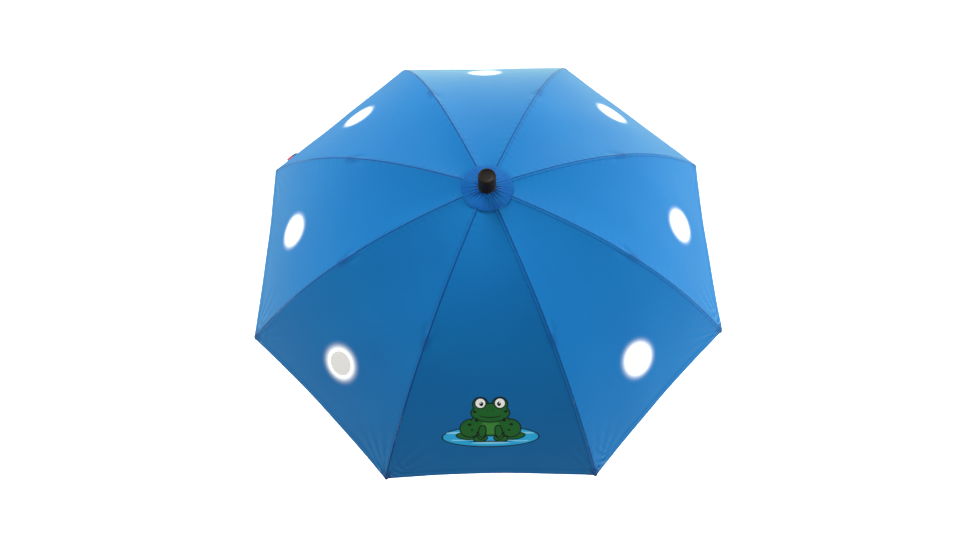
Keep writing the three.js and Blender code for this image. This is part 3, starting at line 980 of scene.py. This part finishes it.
def inner_rib():
    start, end = NOTCH_RADIUS + 1.3 * MM, JOINT_AT - 1.5 * MM
    widths = [(start, TONGUE_HALF), (start + 8 * MM, TONGUE_HALF), (start + 12 * MM, CHANNEL_HALF),
              (end - 9 * MM, CHANNEL_HALF), (end - 5 * MM, 0.6 * MM), (end, 0.6 * MM)]
    heights = [(start, 2.2 * MM), (start + 8 * MM, 2.4 * MM), (start + 12 * MM, CHANNEL_HEIGHT),
               (end - 9 * MM, CHANNEL_HEIGHT), (end, 2.4 * MM)]
    rings = [rib_section(channel(blend_sizes(m, widths), blend_sizes(m, heights)), m)
             for m in stations(widths, 46)]
    notch_eye = eye((NOTCH_RADIUS, NOTCH_HEIGHT), 1.7 * MM, 0.85 * MM, TONGUE_HALF)
    return joined(skin(rings), notch_eye, eye(JOINT_PLACE, EYE_RADIUS, PIN_HOLE, 0.6 * MM))


ROD_RADIUS = 1.3 * MM


def outer_rod():
    """The springy rod, from inside its crimped end to inside the ball tip."""
    marks = [(JOINT_AT + 5 * MM, ROD_RADIUS), (CANOPY_RADIUS - 11 * MM, ROD_RADIUS),
             (CANOPY_RADIUS - 8 * MM, 0.9 * MM), (CANOPY_RADIUS, 0.9 * MM)]
    return skin([rib_section(circle((0, 0), blend_sizes(m, marks)), m) for m in stations(marks, 46)])


def rod_fork():
    """The crimped steel end that takes the rod and straddles the inner rib's eye."""
    outline = [(3.2, 1.7), (4.0, 1.95), (6.2, 1.95), (6.8, 1.7), (7.8, 1.7), (8.4, 1.95),
               (10.6, 1.95), (11.2, 1.7), (12.2, 1.7), (12.8, 1.95), (15.2, 1.9), (15.8, 1.5)]
    rings = [rib_section(circle((0, 0), radius * MM), JOINT_AT + out * MM) for out, radius in outline]
    back = rib_point(JOINT_AT + 6 * MM, RIB_DEPTH)
    return joined(skin(rings), *cheeks((back.x, back.z), 0.9 * MM, 1.5 * MM))


def joint_pin():
    """A rivet with two domed heads, through the fork, the eye and the stretcher."""
    shank, head, dome = 0.8 * MM, 1.5 * MM, 0.55 * MM
    half, start = 3.2 * MM, 2.7 * MM
    lower = [(0, -half - 0.1 * MM), *[(head * math.sin(a), -half + dome * (1 - math.cos(a)))
                                      for a in np.radians([25, 50, 75, 90])]]
    upper = [(r, -h) for r, h in reversed(lower)]
    profile = lower + [(head, -start), (shank, -start), (shank, start), (head, start)] + upper
    place = Matrix.Translation((JOINT_RADIUS, 0, JOINT_HEIGHT))
    return moved(revolve(profile, 28), place @ Matrix.Rotation(math.radians(-90), 4, "X"))


def at_tip(shape):
    """A shape made along +Z, moved to the rib's end and laid along the rib."""
    place = Matrix.Translation(rib_point(CANOPY_RADIUS, RIB_DEPTH))
    lean = math.pi / 2 + float(canopy_slope(CANOPY_RADIUS))
    return moved(shape, place @ Matrix.Rotation(lean, 4, "Y"))


def rib_tip():
    """A moulded ball end with a waist for the thread that ties the canopy's corner to it."""
    waist = scaled([(0, -6.8), (2.1, -6.8), (2.4, -6.4), (2.4, -4.6), (1.65, -4.1), (1.65, -2.9),
                    (2.4, -2.4)])
    ball = arc((0, 2 * MM), 2.8 * MM, -52, 86, 14)
    return at_tip(revolve(waist + ball + [(0, 4.8 * MM)], 32))


def tip_thread():
    """Turns of sewing thread from the canopy's corner round the tip's waist."""
    loops = []
    for lean, back in ((-0.55, 3.7), (0.0, 3.5), (0.5, 3.2)):
        ring = []
        for angle in full_turn(28):
            reach = 1.95 * MM + 1.1 * MM * max(0, -math.cos(angle)) ** 2
            middle = Vector((reach * math.cos(angle), reach * math.sin(angle) * 0.98,
                             -back * MM - lean * MM * math.cos(angle)))
            out = Vector((math.cos(angle), math.sin(angle), 0))
            ring.append([tuple(middle + out * a + Vector((0, 0, b)))
                         for a, b in arc((0, 0), 0.26 * MM, 0, 300, 5)])
        loops.append(skin(ring, closed=True))
    return at_tip(joined(*loops))


def stretcher():
    """A pressed channel, open above, with a tongue in the runner and a fork at the rib joint."""
    run, rise = math.cos(OPEN_ANGLE), math.sin(OPEN_ANGLE)

    def at(distance):
        return NOTCH_RADIUS + distance * run, RUNNER_RING + distance * rise

    flare_start, flare_end, web_end = (LEG_LENGTH - back * MM for back in (22, 13, 10.6))
    widths = [(1.0 * MM, TONGUE_HALF), (18 * MM, TONGUE_HALF), (23 * MM, CHANNEL_HALF),
              (flare_start, CHANNEL_HALF), (flare_end, 2.4 * MM), (web_end, 2.4 * MM)]
    heights = [(1.0 * MM, 2.2 * MM), (18 * MM, 2.4 * MM), (23 * MM, CHANNEL_HEIGHT),
               (web_end, CHANNEL_HEIGHT)]
    rings = []
    for mark in stations(widths, 40):
        section = channel(blend_sizes(mark, widths), blend_sizes(mark, heights))
        rings.append(along_line(section, at(mark), -OPEN_ANGLE, flip=-1))
    return joined(skin(rings), *cheeks(at(web_end - 1.5 * MM), 1.8 * MM, 2.4 * MM),
                  eye(at(0), 1.5 * MM, 0.7 * MM, TONGUE_HALF))


GUARD_CUT = (19.5 * MM, 21 * MM)  # the patch before it is folded over the rib


def joint_guard():
    """A folded patch of cloth over the rib joint, which keeps the pin off the canopy."""
    half, top, bottom, round_by = 3.9 * MM, 3.0 * MM, -3.6 * MM, 1.5 * MM
    outline = [(-half, bottom)] + arc((round_by - half, top - round_by), round_by, 180, 90, 6)
    outline += arc((half - round_by, top - round_by), round_by, 90, 0, 6) + [(half, bottom)]
    inside = [(side * (half - CLOTH_THICK) / half, min(up, top - CLOTH_THICK))
              for side, up in reversed(outline)]
    rings = []
    for share in np.linspace(0, 1, 22):
        station = JOINT_AT - 4 * MM + GUARD_CUT[1] * share
        pinch = 1 - 0.45 * smooth_edge(share, 0.62, 1.0)
        crumple = 0.14 * MM * math.sin(share * 26)
        section = [(side * pinch + crumple * (up < 0), up - 0.5 * MM * (1 - pinch))
                   for side, up in outline + inside]
        rings.append(rib_section(section, station))
    return skin(rings)


def build_frame():
    for kind, shape, material, body, node, slot in (
        ("inner_rib", inner_rib(), STEEL, "inner_rib", "inner_rib", "bare_steel"),
        ("outer_rib", outer_rod(), DARK_ROD, "outer_rib", "outer_rib", "dark_rod"),
        ("rod_fork", rod_fork(), STEEL, "outer_rib", "outer_rib", "bare_steel"),
        ("joint_pin", joint_pin(), STEEL, "inner_rib", "joint_pin", "bare_steel"),
        ("rib_tip", rib_tip(), BLACK_PLASTIC, "outer_rib", "rib_tip", "black_plastic"),
        ("joint_guard", joint_guard(), CLOTH_PATCH, "outer_rib", "outer_rib", "canopy_fabric"),
        ("tip_thread", tip_thread(), THREAD, "outer_rib", "rib_tip", "canopy_fabric"),
        ("stretcher", stretcher(), STEEL, "stretcher", "stretcher", "bare_steel"),
    ):
        for rib in range(1, RIBS + 1):
            turned = (turn(shape[0], at_rib(rib)), shape[1])
            piece = hard_piece(f"{kind}_fine_{rib}", turned, material, f"{body}_{rib}",
                               f"{node}_{rib}")
            kind == "joint_guard"


# ---- Parts on the shaft ----
SLEEVE_BORE = 5.4 * MM
SHAFT_RADIUS = 5 * MM
SHAFT_BORE = 4.3 * MM
FLUTE_HALF = 1.2 * MM
FLUTE_FLOOR = 6.4 * MM
KEYWAY_HALF = 1.1 * MM
KEYWAY_DEPTH = 7.7 * MM
FRONT = -math.pi / 2
OUTLINE_POINTS = 12  # for each rib
WINDOW_AT = (RIBS - 1) * OUTLINE_POINTS + 7  # the point before a window that faces -Y


def round_points(radius, angles):
    return [(radius * math.cos(a), radius * math.sin(a)) for a in angles]


def sleeve_outline(radius, slot_half, fluted=False):
    """A round outline with a place for each rib's flute and, between ribs, for a window's edges."""
    edge = math.asin(FLUTE_HALF / radius)
    mouth = math.asin(slot_half / radius)
    span = HALF_SECTOR - edge
    spread = [-0.75 * span, -0.5 * span, -0.25 * span, -mouth, mouth,
              0.25 * span, 0.5 * span, 0.75 * span]
    points = []
    for azimuth in (at_rib(rib) for rib in range(1, RIBS + 1)):
        if fluted:
            for reach, side in ((radius, -1), (FLUTE_FLOOR, -1), (FLUTE_FLOOR, 1), (radius, 1)):
                deep = math.sqrt(reach**2 - FLUTE_HALF**2)
                points.append((deep * math.cos(azimuth) - side * FLUTE_HALF * math.sin(azimuth),
                               deep * math.sin(azimuth) + side * FLUTE_HALF * math.cos(azimuth)))
        else:
            points += round_points(radius, [azimuth + a for a in (-edge, -edge / 3, edge / 3, edge)])
        points += round_points(radius, [azimuth + HALF_SECTOR + a for a in spread])
    return points


def sleeve(profile, bore, windows=(), fluted=False, keyway=False, slot_half=KEYWAY_HALF):
    """A tube with an outer profile of (radius, height), and windows (low, high) that face -Y."""
    radii, heights = zip(*profile)
    rungs = list(profile)
    for height in (edge for window in windows for edge in window):
        if min(abs(height - h) for h in heights) > 1e-7:
            rungs.append((float(np.interp(height, heights, radii)), height))
    rungs.sort(key=lambda rung: rung[1])
    bores = sleeve_outline(bore, slot_half)
    if keyway:
        for i in (WINDOW_AT, WINDOW_AT + 1):
            bores[i] = (bores[i][0], -KEYWAY_DEPTH)
    count = len(bores)
    outer = [[(x, y, h) for x, y in sleeve_outline(r, slot_half, fluted)] for r, h in rungs]
    inner = [[(x, y, h) for x, y in bores] for _, h in rungs]
    vertices = np.concatenate([np.array(ring) for ring in outer + inner])
    faces = []
    levels = len(rungs)
    for level in range(levels - 1):
        low_edge, high_edge = rungs[level][1], rungs[level + 1][1]
        a, b = level * count, (level + 1) * count
        c, d = a + levels * count, b + levels * count
        opened = any(low < (low_edge + high_edge) / 2 < high for low, high in windows)
        for i in range(count):
            j = (i + 1) % count
            if opened and i == WINDOW_AT:
                faces += [(a + i, b + i, d + i, c + i), (a + j, c + j, d + j, b + j)]
            else:
                faces += [(a + i, a + j, b + j, b + i), (c + j, c + i, d + i, d + j)]
        i, j = WINDOW_AT, WINDOW_AT + 1
        if any(abs(low_edge - low) < 1e-7 for low, _ in windows):
            faces.append((a + i, c + i, c + j, a + j))
        if any(abs(high_edge - high) < 1e-7 for _, high in windows):
            faces.append((b + j, d + j, d + i, b + i))
    top, deep = (levels - 1) * count, levels * count
    for i in range(count):
        j = (i + 1) % count
        faces.append((deep + i, deep + j, j, i))
        faces.append((top + i, top + j, deep + top + j, deep + top + i))
    return vertices, faces


RUNNER_BOTTOM = RUNNER_RING - 36 * MM


def runner():
    profile = [(11.6, -36), (12.6, -35.6), (13.0, -34.8), (13.0, -33.4), (12.4, -32.6),
               (10.6, -31.4), (9.6, -30.2), (9.6, -27)]
    for groove in range(4):
        low = -26 + groove * 3.4
        profile += [(9.6, low), (9.15, low + 0.7), (9.15, low + 1.5), (9.6, low + 2.2)]
    profile += [(9.6, -10.5), (10.2, -9.4), (11.2, -8.2), (11.5, -7.4), (11.5, 3.6), (11.2, 4.6),
                (10.4, 5.0)]
    window = (RUNNER_RING - 30 * MM, RUNNER_RING - 14 * MM)
    return sleeve(scaled(profile, RUNNER_RING), SLEEVE_BORE, [window], fluted=True, keyway=True)


def top_notch():
    profile = [(9.6, -4.6), (10.4, -4.2), (10.9, -3.5), (11.0, -2.8), (11.0, 1.0), (10.8, 1.5),
               (10.3, 1.8)]
    return sleeve(scaled(profile, NOTCH_HEIGHT), SLEEVE_BORE, fluted=True)


def notch_wire():
    rings = []
    for angle in full_turn(96):
        out = np.array([math.cos(angle), math.sin(angle), 0])
        centre = out * NOTCH_RADIUS + [0, 0, NOTCH_HEIGHT]
        rings.append([tuple(centre + out * a + [0, 0, b]) for a, b in arc((0, 0), 0.45 * MM, 0, 324, 9)])
    return skin(rings, closed=True)


CATCH_LENGTH = 14 * MM
TOP_CATCH_TOP = RUNNER_BOTTOM - 0.3 * MM
RUNNER_SHUT = RUNNER_RING - JOINTS["runner_slide"]["range_m"][1]
BOTTOM_CATCH_TOP = RUNNER_SHUT - 22 * MM + CATCH_LENGTH / 2


def spring_catch(top, direction):
    """A bent spring strip, direction 1 with its ledge at the top, -1 at the bottom."""
    middle, half = top - CATCH_LENGTH / 2, CATCH_LENGTH / 2
    nose = 7.2 * MM
    outline = [(2.2 * MM, half - 0.6 * MM), (nose - 0.7 * MM, half - 0.1 * MM)]
    outline += arc((nose - 0.7 * MM, half - 0.8 * MM), 0.7 * MM, 80, -10, 4)
    outline += [(nose - 0.1 * MM, half - 2.4 * MM), (6.6 * MM, half - 4.4 * MM),
                (4.3 * MM, 0.9 * MM - half), (2.2 * MM, 0.6 * MM - half)]
    points = [(reach, middle + direction * along) for reach, along in outline]
    shape = softened(slab([points], -0.7 * MM, 0.7 * MM), 0.16 * MM)
    return turn(shape[0], FRONT), shape[1]


HANDLE_RADIUS = 9.5 * MM
HANDLE_TOP = 40 * MM
CROOK_RADIUS = 33 * MM


def crook_handle():
    """A round grip that bends through a half circle to a slightly swollen, rounded end."""
    sides = 48
    bottom = -HANDLE_TOP
    angles = full_turn(sides)
    parting = 0.14 * MM * np.exp(-((np.sin(angles) / 0.05) ** 2))
    rings = []

    def add(x, z, heading, radius):
        across = np.array([math.cos(heading), 0, math.sin(heading)])
        reach = radius + parting
        ring = np.outer(reach * np.cos(angles), across)
        ring[:, 1] += reach * np.sin(angles)
        rings.append(ring + [x, 0, z])

    for height, radius in ((HANDLE_TOP, 0.86), (HANDLE_TOP - 0.5 * MM, 0.96),
                           (HANDLE_TOP - 1.4 * MM, 1.0)):
        add(0, height, 0, HANDLE_RADIUS * radius)
    for height in np.linspace(HANDLE_TOP - 6 * MM, bottom + 4 * MM, 14):
        add(0, height, 0, HANDLE_RADIUS)
    for bend in np.linspace(0, math.pi, 41):
        add(CROOK_RADIUS * (1 - math.cos(bend)), bottom - CROOK_RADIUS * math.sin(bend), bend,
            HANDLE_RADIUS)
    swell, ball = 0.7 * MM, 10.2 * MM
    end = bottom + 16 * MM
    for rise in np.linspace(2 * MM, end - bottom, 6):
        share = rise / (end - bottom)
        add(2 * CROOK_RADIUS, bottom + rise, math.pi, HANDLE_RADIUS + swell * share**2)
    for lift in np.radians([12, 24, 36, 48, 60, 70, 78, 84, 88]):
        add(2 * CROOK_RADIUS, end + ball * math.sin(lift), math.pi, ball * math.cos(lift))
    return skin(rings)


def handle_collar():
    profile = [(5.4, 0), (10.3, 0), (10.7, 0.4), (10.7, 2.6), (10.3, 3.1), (9.5, 3.5), (9.4, 4.2),
               (9.1, 7.2), (8.7, 9.2), (8.1, 10.8), (7.6, 11.4), (6.9, 11.7), (5.4, 11.7)]
    return revolve(scaled(profile, HANDLE_TOP + 0.3 * MM), 72, hole=True)


CAP_BOTTOM = float(canopy_height(0)) + 1.9 * MM
CAP_HEIGHT = 26 * MM


def ferrule_cap():
    """A child-safe cap: a plain barrel on a beaded skirt, with a shallow dish in its top."""
    bore = [(0, 21.3), (5.4, 21.3), (5.4, 0)]
    skirt = [(11.9, 0), (12.3, 0.4), (12.3, 2.4), (12.0, 3.0), (11.5, 3.4), (11.5, 3.9)]
    barrel = [(11.6, 6), (11.75, 10), (11.85, 15), (11.95, 20), (12.0, 22.2), (11.9, 23.6),
              (11.5, 24.8), (10.9, 25.6), (10.1, 25.95), (9.4, 25.9), (8.8, 25.5), (8.0, 25.1),
              (6.0, 24.8), (3.0, 24.65), (0, 24.6)]
    return revolve(scaled(bore + skirt + barrel, CAP_BOTTOM), 96)


def shaft_tube():
    low, high = HANDLE_TOP - 57.7 * MM, CAP_BOTTOM + CAP_HEIGHT - 5 * MM
    outline = [(SHAFT_RADIUS - 0.3 * MM, low), (SHAFT_RADIUS, low + 0.4 * MM),
               (SHAFT_RADIUS, high - 0.4 * MM), (SHAFT_RADIUS - 0.3 * MM, high)]
    slots = [(top - CATCH_LENGTH - 0.6 * MM, top + 0.6 * MM)
             for top in (TOP_CATCH_TOP, BOTTOM_CATCH_TOP)]
    return sleeve(outline, SHAFT_BORE, slots, slot_half=1.0 * MM)


def build_shaft():
    for name, shape, material, body, slot in (
        ("shaft_tube", shaft_tube(), STEEL, "root", "bare_steel"),
        ("handle", crook_handle(), BLACK_PLASTIC, "root", "black_plastic"),
        ("handle_collar", handle_collar(), STEEL, "root", "bare_steel"),
        ("ferrule_cap", ferrule_cap(), CAP_PLASTIC, "root", "black_plastic"),
        ("top_notch", top_notch(), BLACK_PLASTIC, "root", "black_plastic"),
        ("notch_wire", notch_wire(), STEEL, "root", "bare_steel"),
        ("runner", runner(), BLACK_PLASTIC, "runner", "black_plastic"),
        ("top_catch", spring_catch(TOP_CATCH_TOP, 1), STEEL, "top_catch", "bare_steel"),
        ("bottom_catch", spring_catch(BOTTOM_CATCH_TOP, -1), STEEL, "bottom_catch", "bare_steel"),
    ):
        hard_piece(f"{name}_fine", shape, material, body, name)


# ---- Rosette, strap and label ----
ROSETTE_INNER = 5.6 * MM
ROSETTE_OUTER = 36 * MM


def rosette_point(radius_share, angle):
    """A point of the gathered disc: pleats stand up round the cap and die out at the edge."""
    edge = ROSETTE_OUTER - 0.7 * MM * (0.5 + 0.5 * np.cos(RIBS * (angle - FIRST_RIB)))
    edge = edge - 0.3 * MM * (1 + np.sin(angle * 31))
    radius = ROSETTE_INNER + (edge - ROSETTE_INNER) * radius_share
    off_rib = (angle - FIRST_RIB + HALF_SECTOR) % SECTOR - HALF_SECTOR
    rib_radius = radius * np.cos(HALF_SECTOR - np.abs(off_rib)) / math.cos(HALF_SECTOR)
    fold = np.sin(angle * 29 + 1.6 * np.sin(angle * 5)) + 0.7 * np.sin(angle * 47 + 2 * radius_share)
    gather = 0.55 * MM * np.exp(-((radius - 13 * MM) / (9 * MM)) ** 2) + 0.12 * MM
    lift = 0.85 * MM + gather * (0.75 + 0.5 * fold) - 0.35 * MM * smooth_edge(radius_share, 0.9, 1)
    return np.stack([radius * np.cos(angle), radius * np.sin(angle),
                     canopy_height(rib_radius) + lift], -1)


def build_rosette():
    """A gathered disc of the canopy's cloth, in one sector for each rib so that it can fold."""
    rows, wide = 22, 31
    share = np.linspace(0, 1, rows)[:, None]
    for rib in range(1, RIBS + 1):
        angle = at_rib(rib) + np.linspace(-HALF_SECTOR, HALF_SECTOR, wide)[None, :]
        points = rosette_point(share, angle).reshape(-1, 3)
        normals = np.cross(
            rosette_point(share + 0.01, angle) - rosette_point(share - 0.01, angle),
            rosette_point(share, angle + 0.01) - rosette_point(share, angle - 0.01),
        ).reshape(-1, 3)
        normals /= np.linalg.norm(normals, axis=-1, keepdims=True)
        piece = cloth_shell(f"rosette_gathered_{rib}", points, normals, wide, CLOTH_THICK,
                            [CLOTH_ROSETTE], {})
        fold_with_ribs(piece, rib, "inner_rib", "rosette")


STRAP_SECTOR = FIRST_RIB + SECTOR * 4.5
HEM_APOTHEM = CANOPY_RADIUS * math.cos(HALF_SECTOR)
HEM_HALF = CANOPY_RADIUS * math.sin(HALF_SECTOR)
STRAP_WIDTH = 18 * MM
STRAP_LENGTH = 114 * MM
STRAP_ROUND = 9 * MM
STUD_RISE = 12 * MM
STRAP_THICK = 0.9 * MM
STRAP_CENTRE = HEM_HALF - 20 * MM
STRAP_FACE = HEM_APOTHEM - 3 * MM
STRAP_TOP = RIM_PLANE + 2.4 * MM


def build_strap():
    """A folded and stitched band that hangs from the hem; its press stud is built apart."""
    rows, wide = 70, 19
    straight = np.linspace(0, STRAP_LENGTH - STRAP_ROUND, rows - 12)
    past = np.sin(np.linspace(0, math.pi / 2, 13))
    down = np.concatenate([straight, straight[-1] + STRAP_ROUND * past[1:]])[:, None]
    past = np.clip((down - STRAP_LENGTH) / STRAP_ROUND + 1, 0, 1)
    side = np.linspace(-1, 1, wide)
    y = STRAP_CENTRE + side * STRAP_WIDTH / 2 * np.sqrt(1 - 0.96 * past**2)
    sway = 1.1 * MM * np.sin(down * 44) * smooth_edge(down, 0, 0.03)
    curl = 0.35 * MM * (side**2 - 0.4) + 0.16 * MM * smooth_edge(np.abs(side), 0.80, 0.90)
    top = turn(grid(STRAP_FACE + sway + curl, y, STRAP_TOP - down), STRAP_SECTOR)
    outward = turn(grid(1, 0 * y, 0), STRAP_SECTOR)
    piece = cloth_shell("closure_strap_band", top, outward, wide, STRAP_THICK, [STRAP_CLOTH],
                        {"cloth": grid(side * STRAP_WIDTH / 2, down, 0)}, exact=False)
    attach(piece, "strap")
    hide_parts("closure_strap")


def strap_stud():
    """The stud's ring and ball, pressed through the band."""
    profile = [(0, -1.6), (4.2, -1.6), (5.0, -1.3), (5.0, 0.7), (4.7, 1.1), (4.1, 1.25), (3.5, 1.1),
               (3.1, 0.7), (2.1, 0.6), (1.9, 1.0), (2.0, 1.5), (1.6, 1.95), (0.9, 2.1), (0, 2.12)]
    place = Matrix.Translation(
        (STRAP_FACE + 0.3 * MM, STRAP_CENTRE, STRAP_TOP - STRAP_LENGTH + STUD_RISE))
    shape = revolve(scaled(profile), 48)
    vertices, faces = moved(shape, place @ Matrix.Rotation(math.pi / 2, 4, "Y"))
    return turn(vertices, STRAP_SECTOR), faces


LABEL_WIDTH = 20 * MM
LABEL_LENGTH = 10 * MM
LABEL_FROM_TIP = 37 * MM


def build_label():
    """A folded two-colour ribbon sewn into the hem, and standing out of it."""
    rows, wide = 12, 17
    along = np.linspace(-0.5, 0.5, wide)
    out = np.linspace(0, 1, rows)[:, None]
    x = HEM_APOTHEM - 5 * MM + out * LABEL_LENGTH + 0.5 * MM * np.sin(along * 5)
    y = HEM_HALF - LABEL_FROM_TIP + along * LABEL_WIDTH
    z = RIM_PLANE + 2.8 * MM - 4.5 * MM * out**1.5 + 0.5 * MM * np.sin(along * 7 + out * 2)
    top = turn(grid(x, y, z), STRAP_SECTOR)
    piece = cloth_shell("hem_label", top, grid(0 * x, 0, 1), wide, 0.7 * MM, [LABEL_CLOTH],
                        {"cloth": grid(along, out, 0)}, exact=False)
    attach(piece, "outer_rib_6")


build_frame()
build_shaft()
build_rosette()
hard_piece("strap_stud_fine", strap_stud(), STEEL, "strap", "strap_stud")
build_strap()
build_label()

# ---- Camera, light, floor ----
CAMERA_PLACE = (-0.0043, -0.4478, RIM_PLANE + 0.9519)
CAMERA_TARGET = (0.0019, -0.0497, RIM_PLANE)
CAMERA_LENS = 24.08
FLOOR_HEIGHT = -0.85
FLOOR_REACH = 40
FLOOR_GLOW = 0.66
AMBIENT_FRONT = 0.62
AMBIENT_BACK = 0.16
CANOPY_MIDDLE = (0, 0, 0.4)
# Each lamp's name, place and power
LIGHTS = [
    ("back_light", (-0.6, 1.6, 1.6), 47),
    ("side_light", (2.0, 0.2, 1.0), 62),
    ("left_light", (-1.8, 0.4, 1.2), 24),
]


def looking(name, data, place, target):
    """A camera or lamp at a place, turned to look at a target."""
    holder = bpy.data.objects.new(name, data)
    bpy.context.scene.collection.objects.link(holder)
    holder.location = place
    holder.rotation_euler = (Vector(target) - Vector(place)).to_track_quat("-Z", "Y").to_euler()
    return holder


def build_camera():
    camera = bpy.data.cameras.new("camera")
    camera.lens = CAMERA_LENS
    camera.clip_start = 0.01
    bpy.context.scene.camera = looking("camera", camera, CAMERA_PLACE, CAMERA_TARGET)


def build_light(name, place, power):
    light = bpy.data.lights.new(name, "AREA")
    light.shape = "DISK"
    light.size = 1.0
    light.energy = power
    looking(name, light, place, CANOPY_MIDDLE)


def build_world():
    """Soft light, stronger from the front; the backdrop that the camera sees is white."""
    world = bpy.data.worlds.new("studio")
    world.use_nodes = True
    tree = world.node_tree
    background = tree.nodes["Background"]
    background.inputs["Color"].default_value = (1, 1, 1, 1)
    direction = Field(tree, tree.nodes.new("ShaderNodeTexCoord").outputs["Generated"])
    backward = direction.parts()[1]
    ambient = backward * ((AMBIENT_BACK - AMBIENT_FRONT) / 2) + (AMBIENT_BACK + AMBIENT_FRONT) / 2
    seen = Field(tree, tree.nodes.new("ShaderNodeLightPath").outputs["Is Camera Ray"])
    connect(ambient.maximum(seen), background.inputs["Strength"])
    bpy.context.scene.world = world


def build_floor():
    material, _, shader = new_material("floor")
    shader.inputs["Base Color"].default_value = (0.93, 0.93, 0.93, 1)
    shader.inputs["Roughness"].default_value = 0.9
    shader.inputs["Emission Color"].default_value = (1, 1, 1, 1)
    shader.inputs["Emission Strength"].default_value = FLOOR_GLOW
    corners = [(x * FLOOR_REACH, y * FLOOR_REACH, FLOOR_HEIGHT)
               for x, y in ((-1, -1), (1, -1), (1, 1), (-1, 1))]
    make_object("floor", corners, [(0, 1, 2, 3)], [material])


bpy.context.scene.view_settings.view_transform = "Standard"
build_camera()
build_world()
for light in LIGHTS:
    build_light(*light)
build_floor()
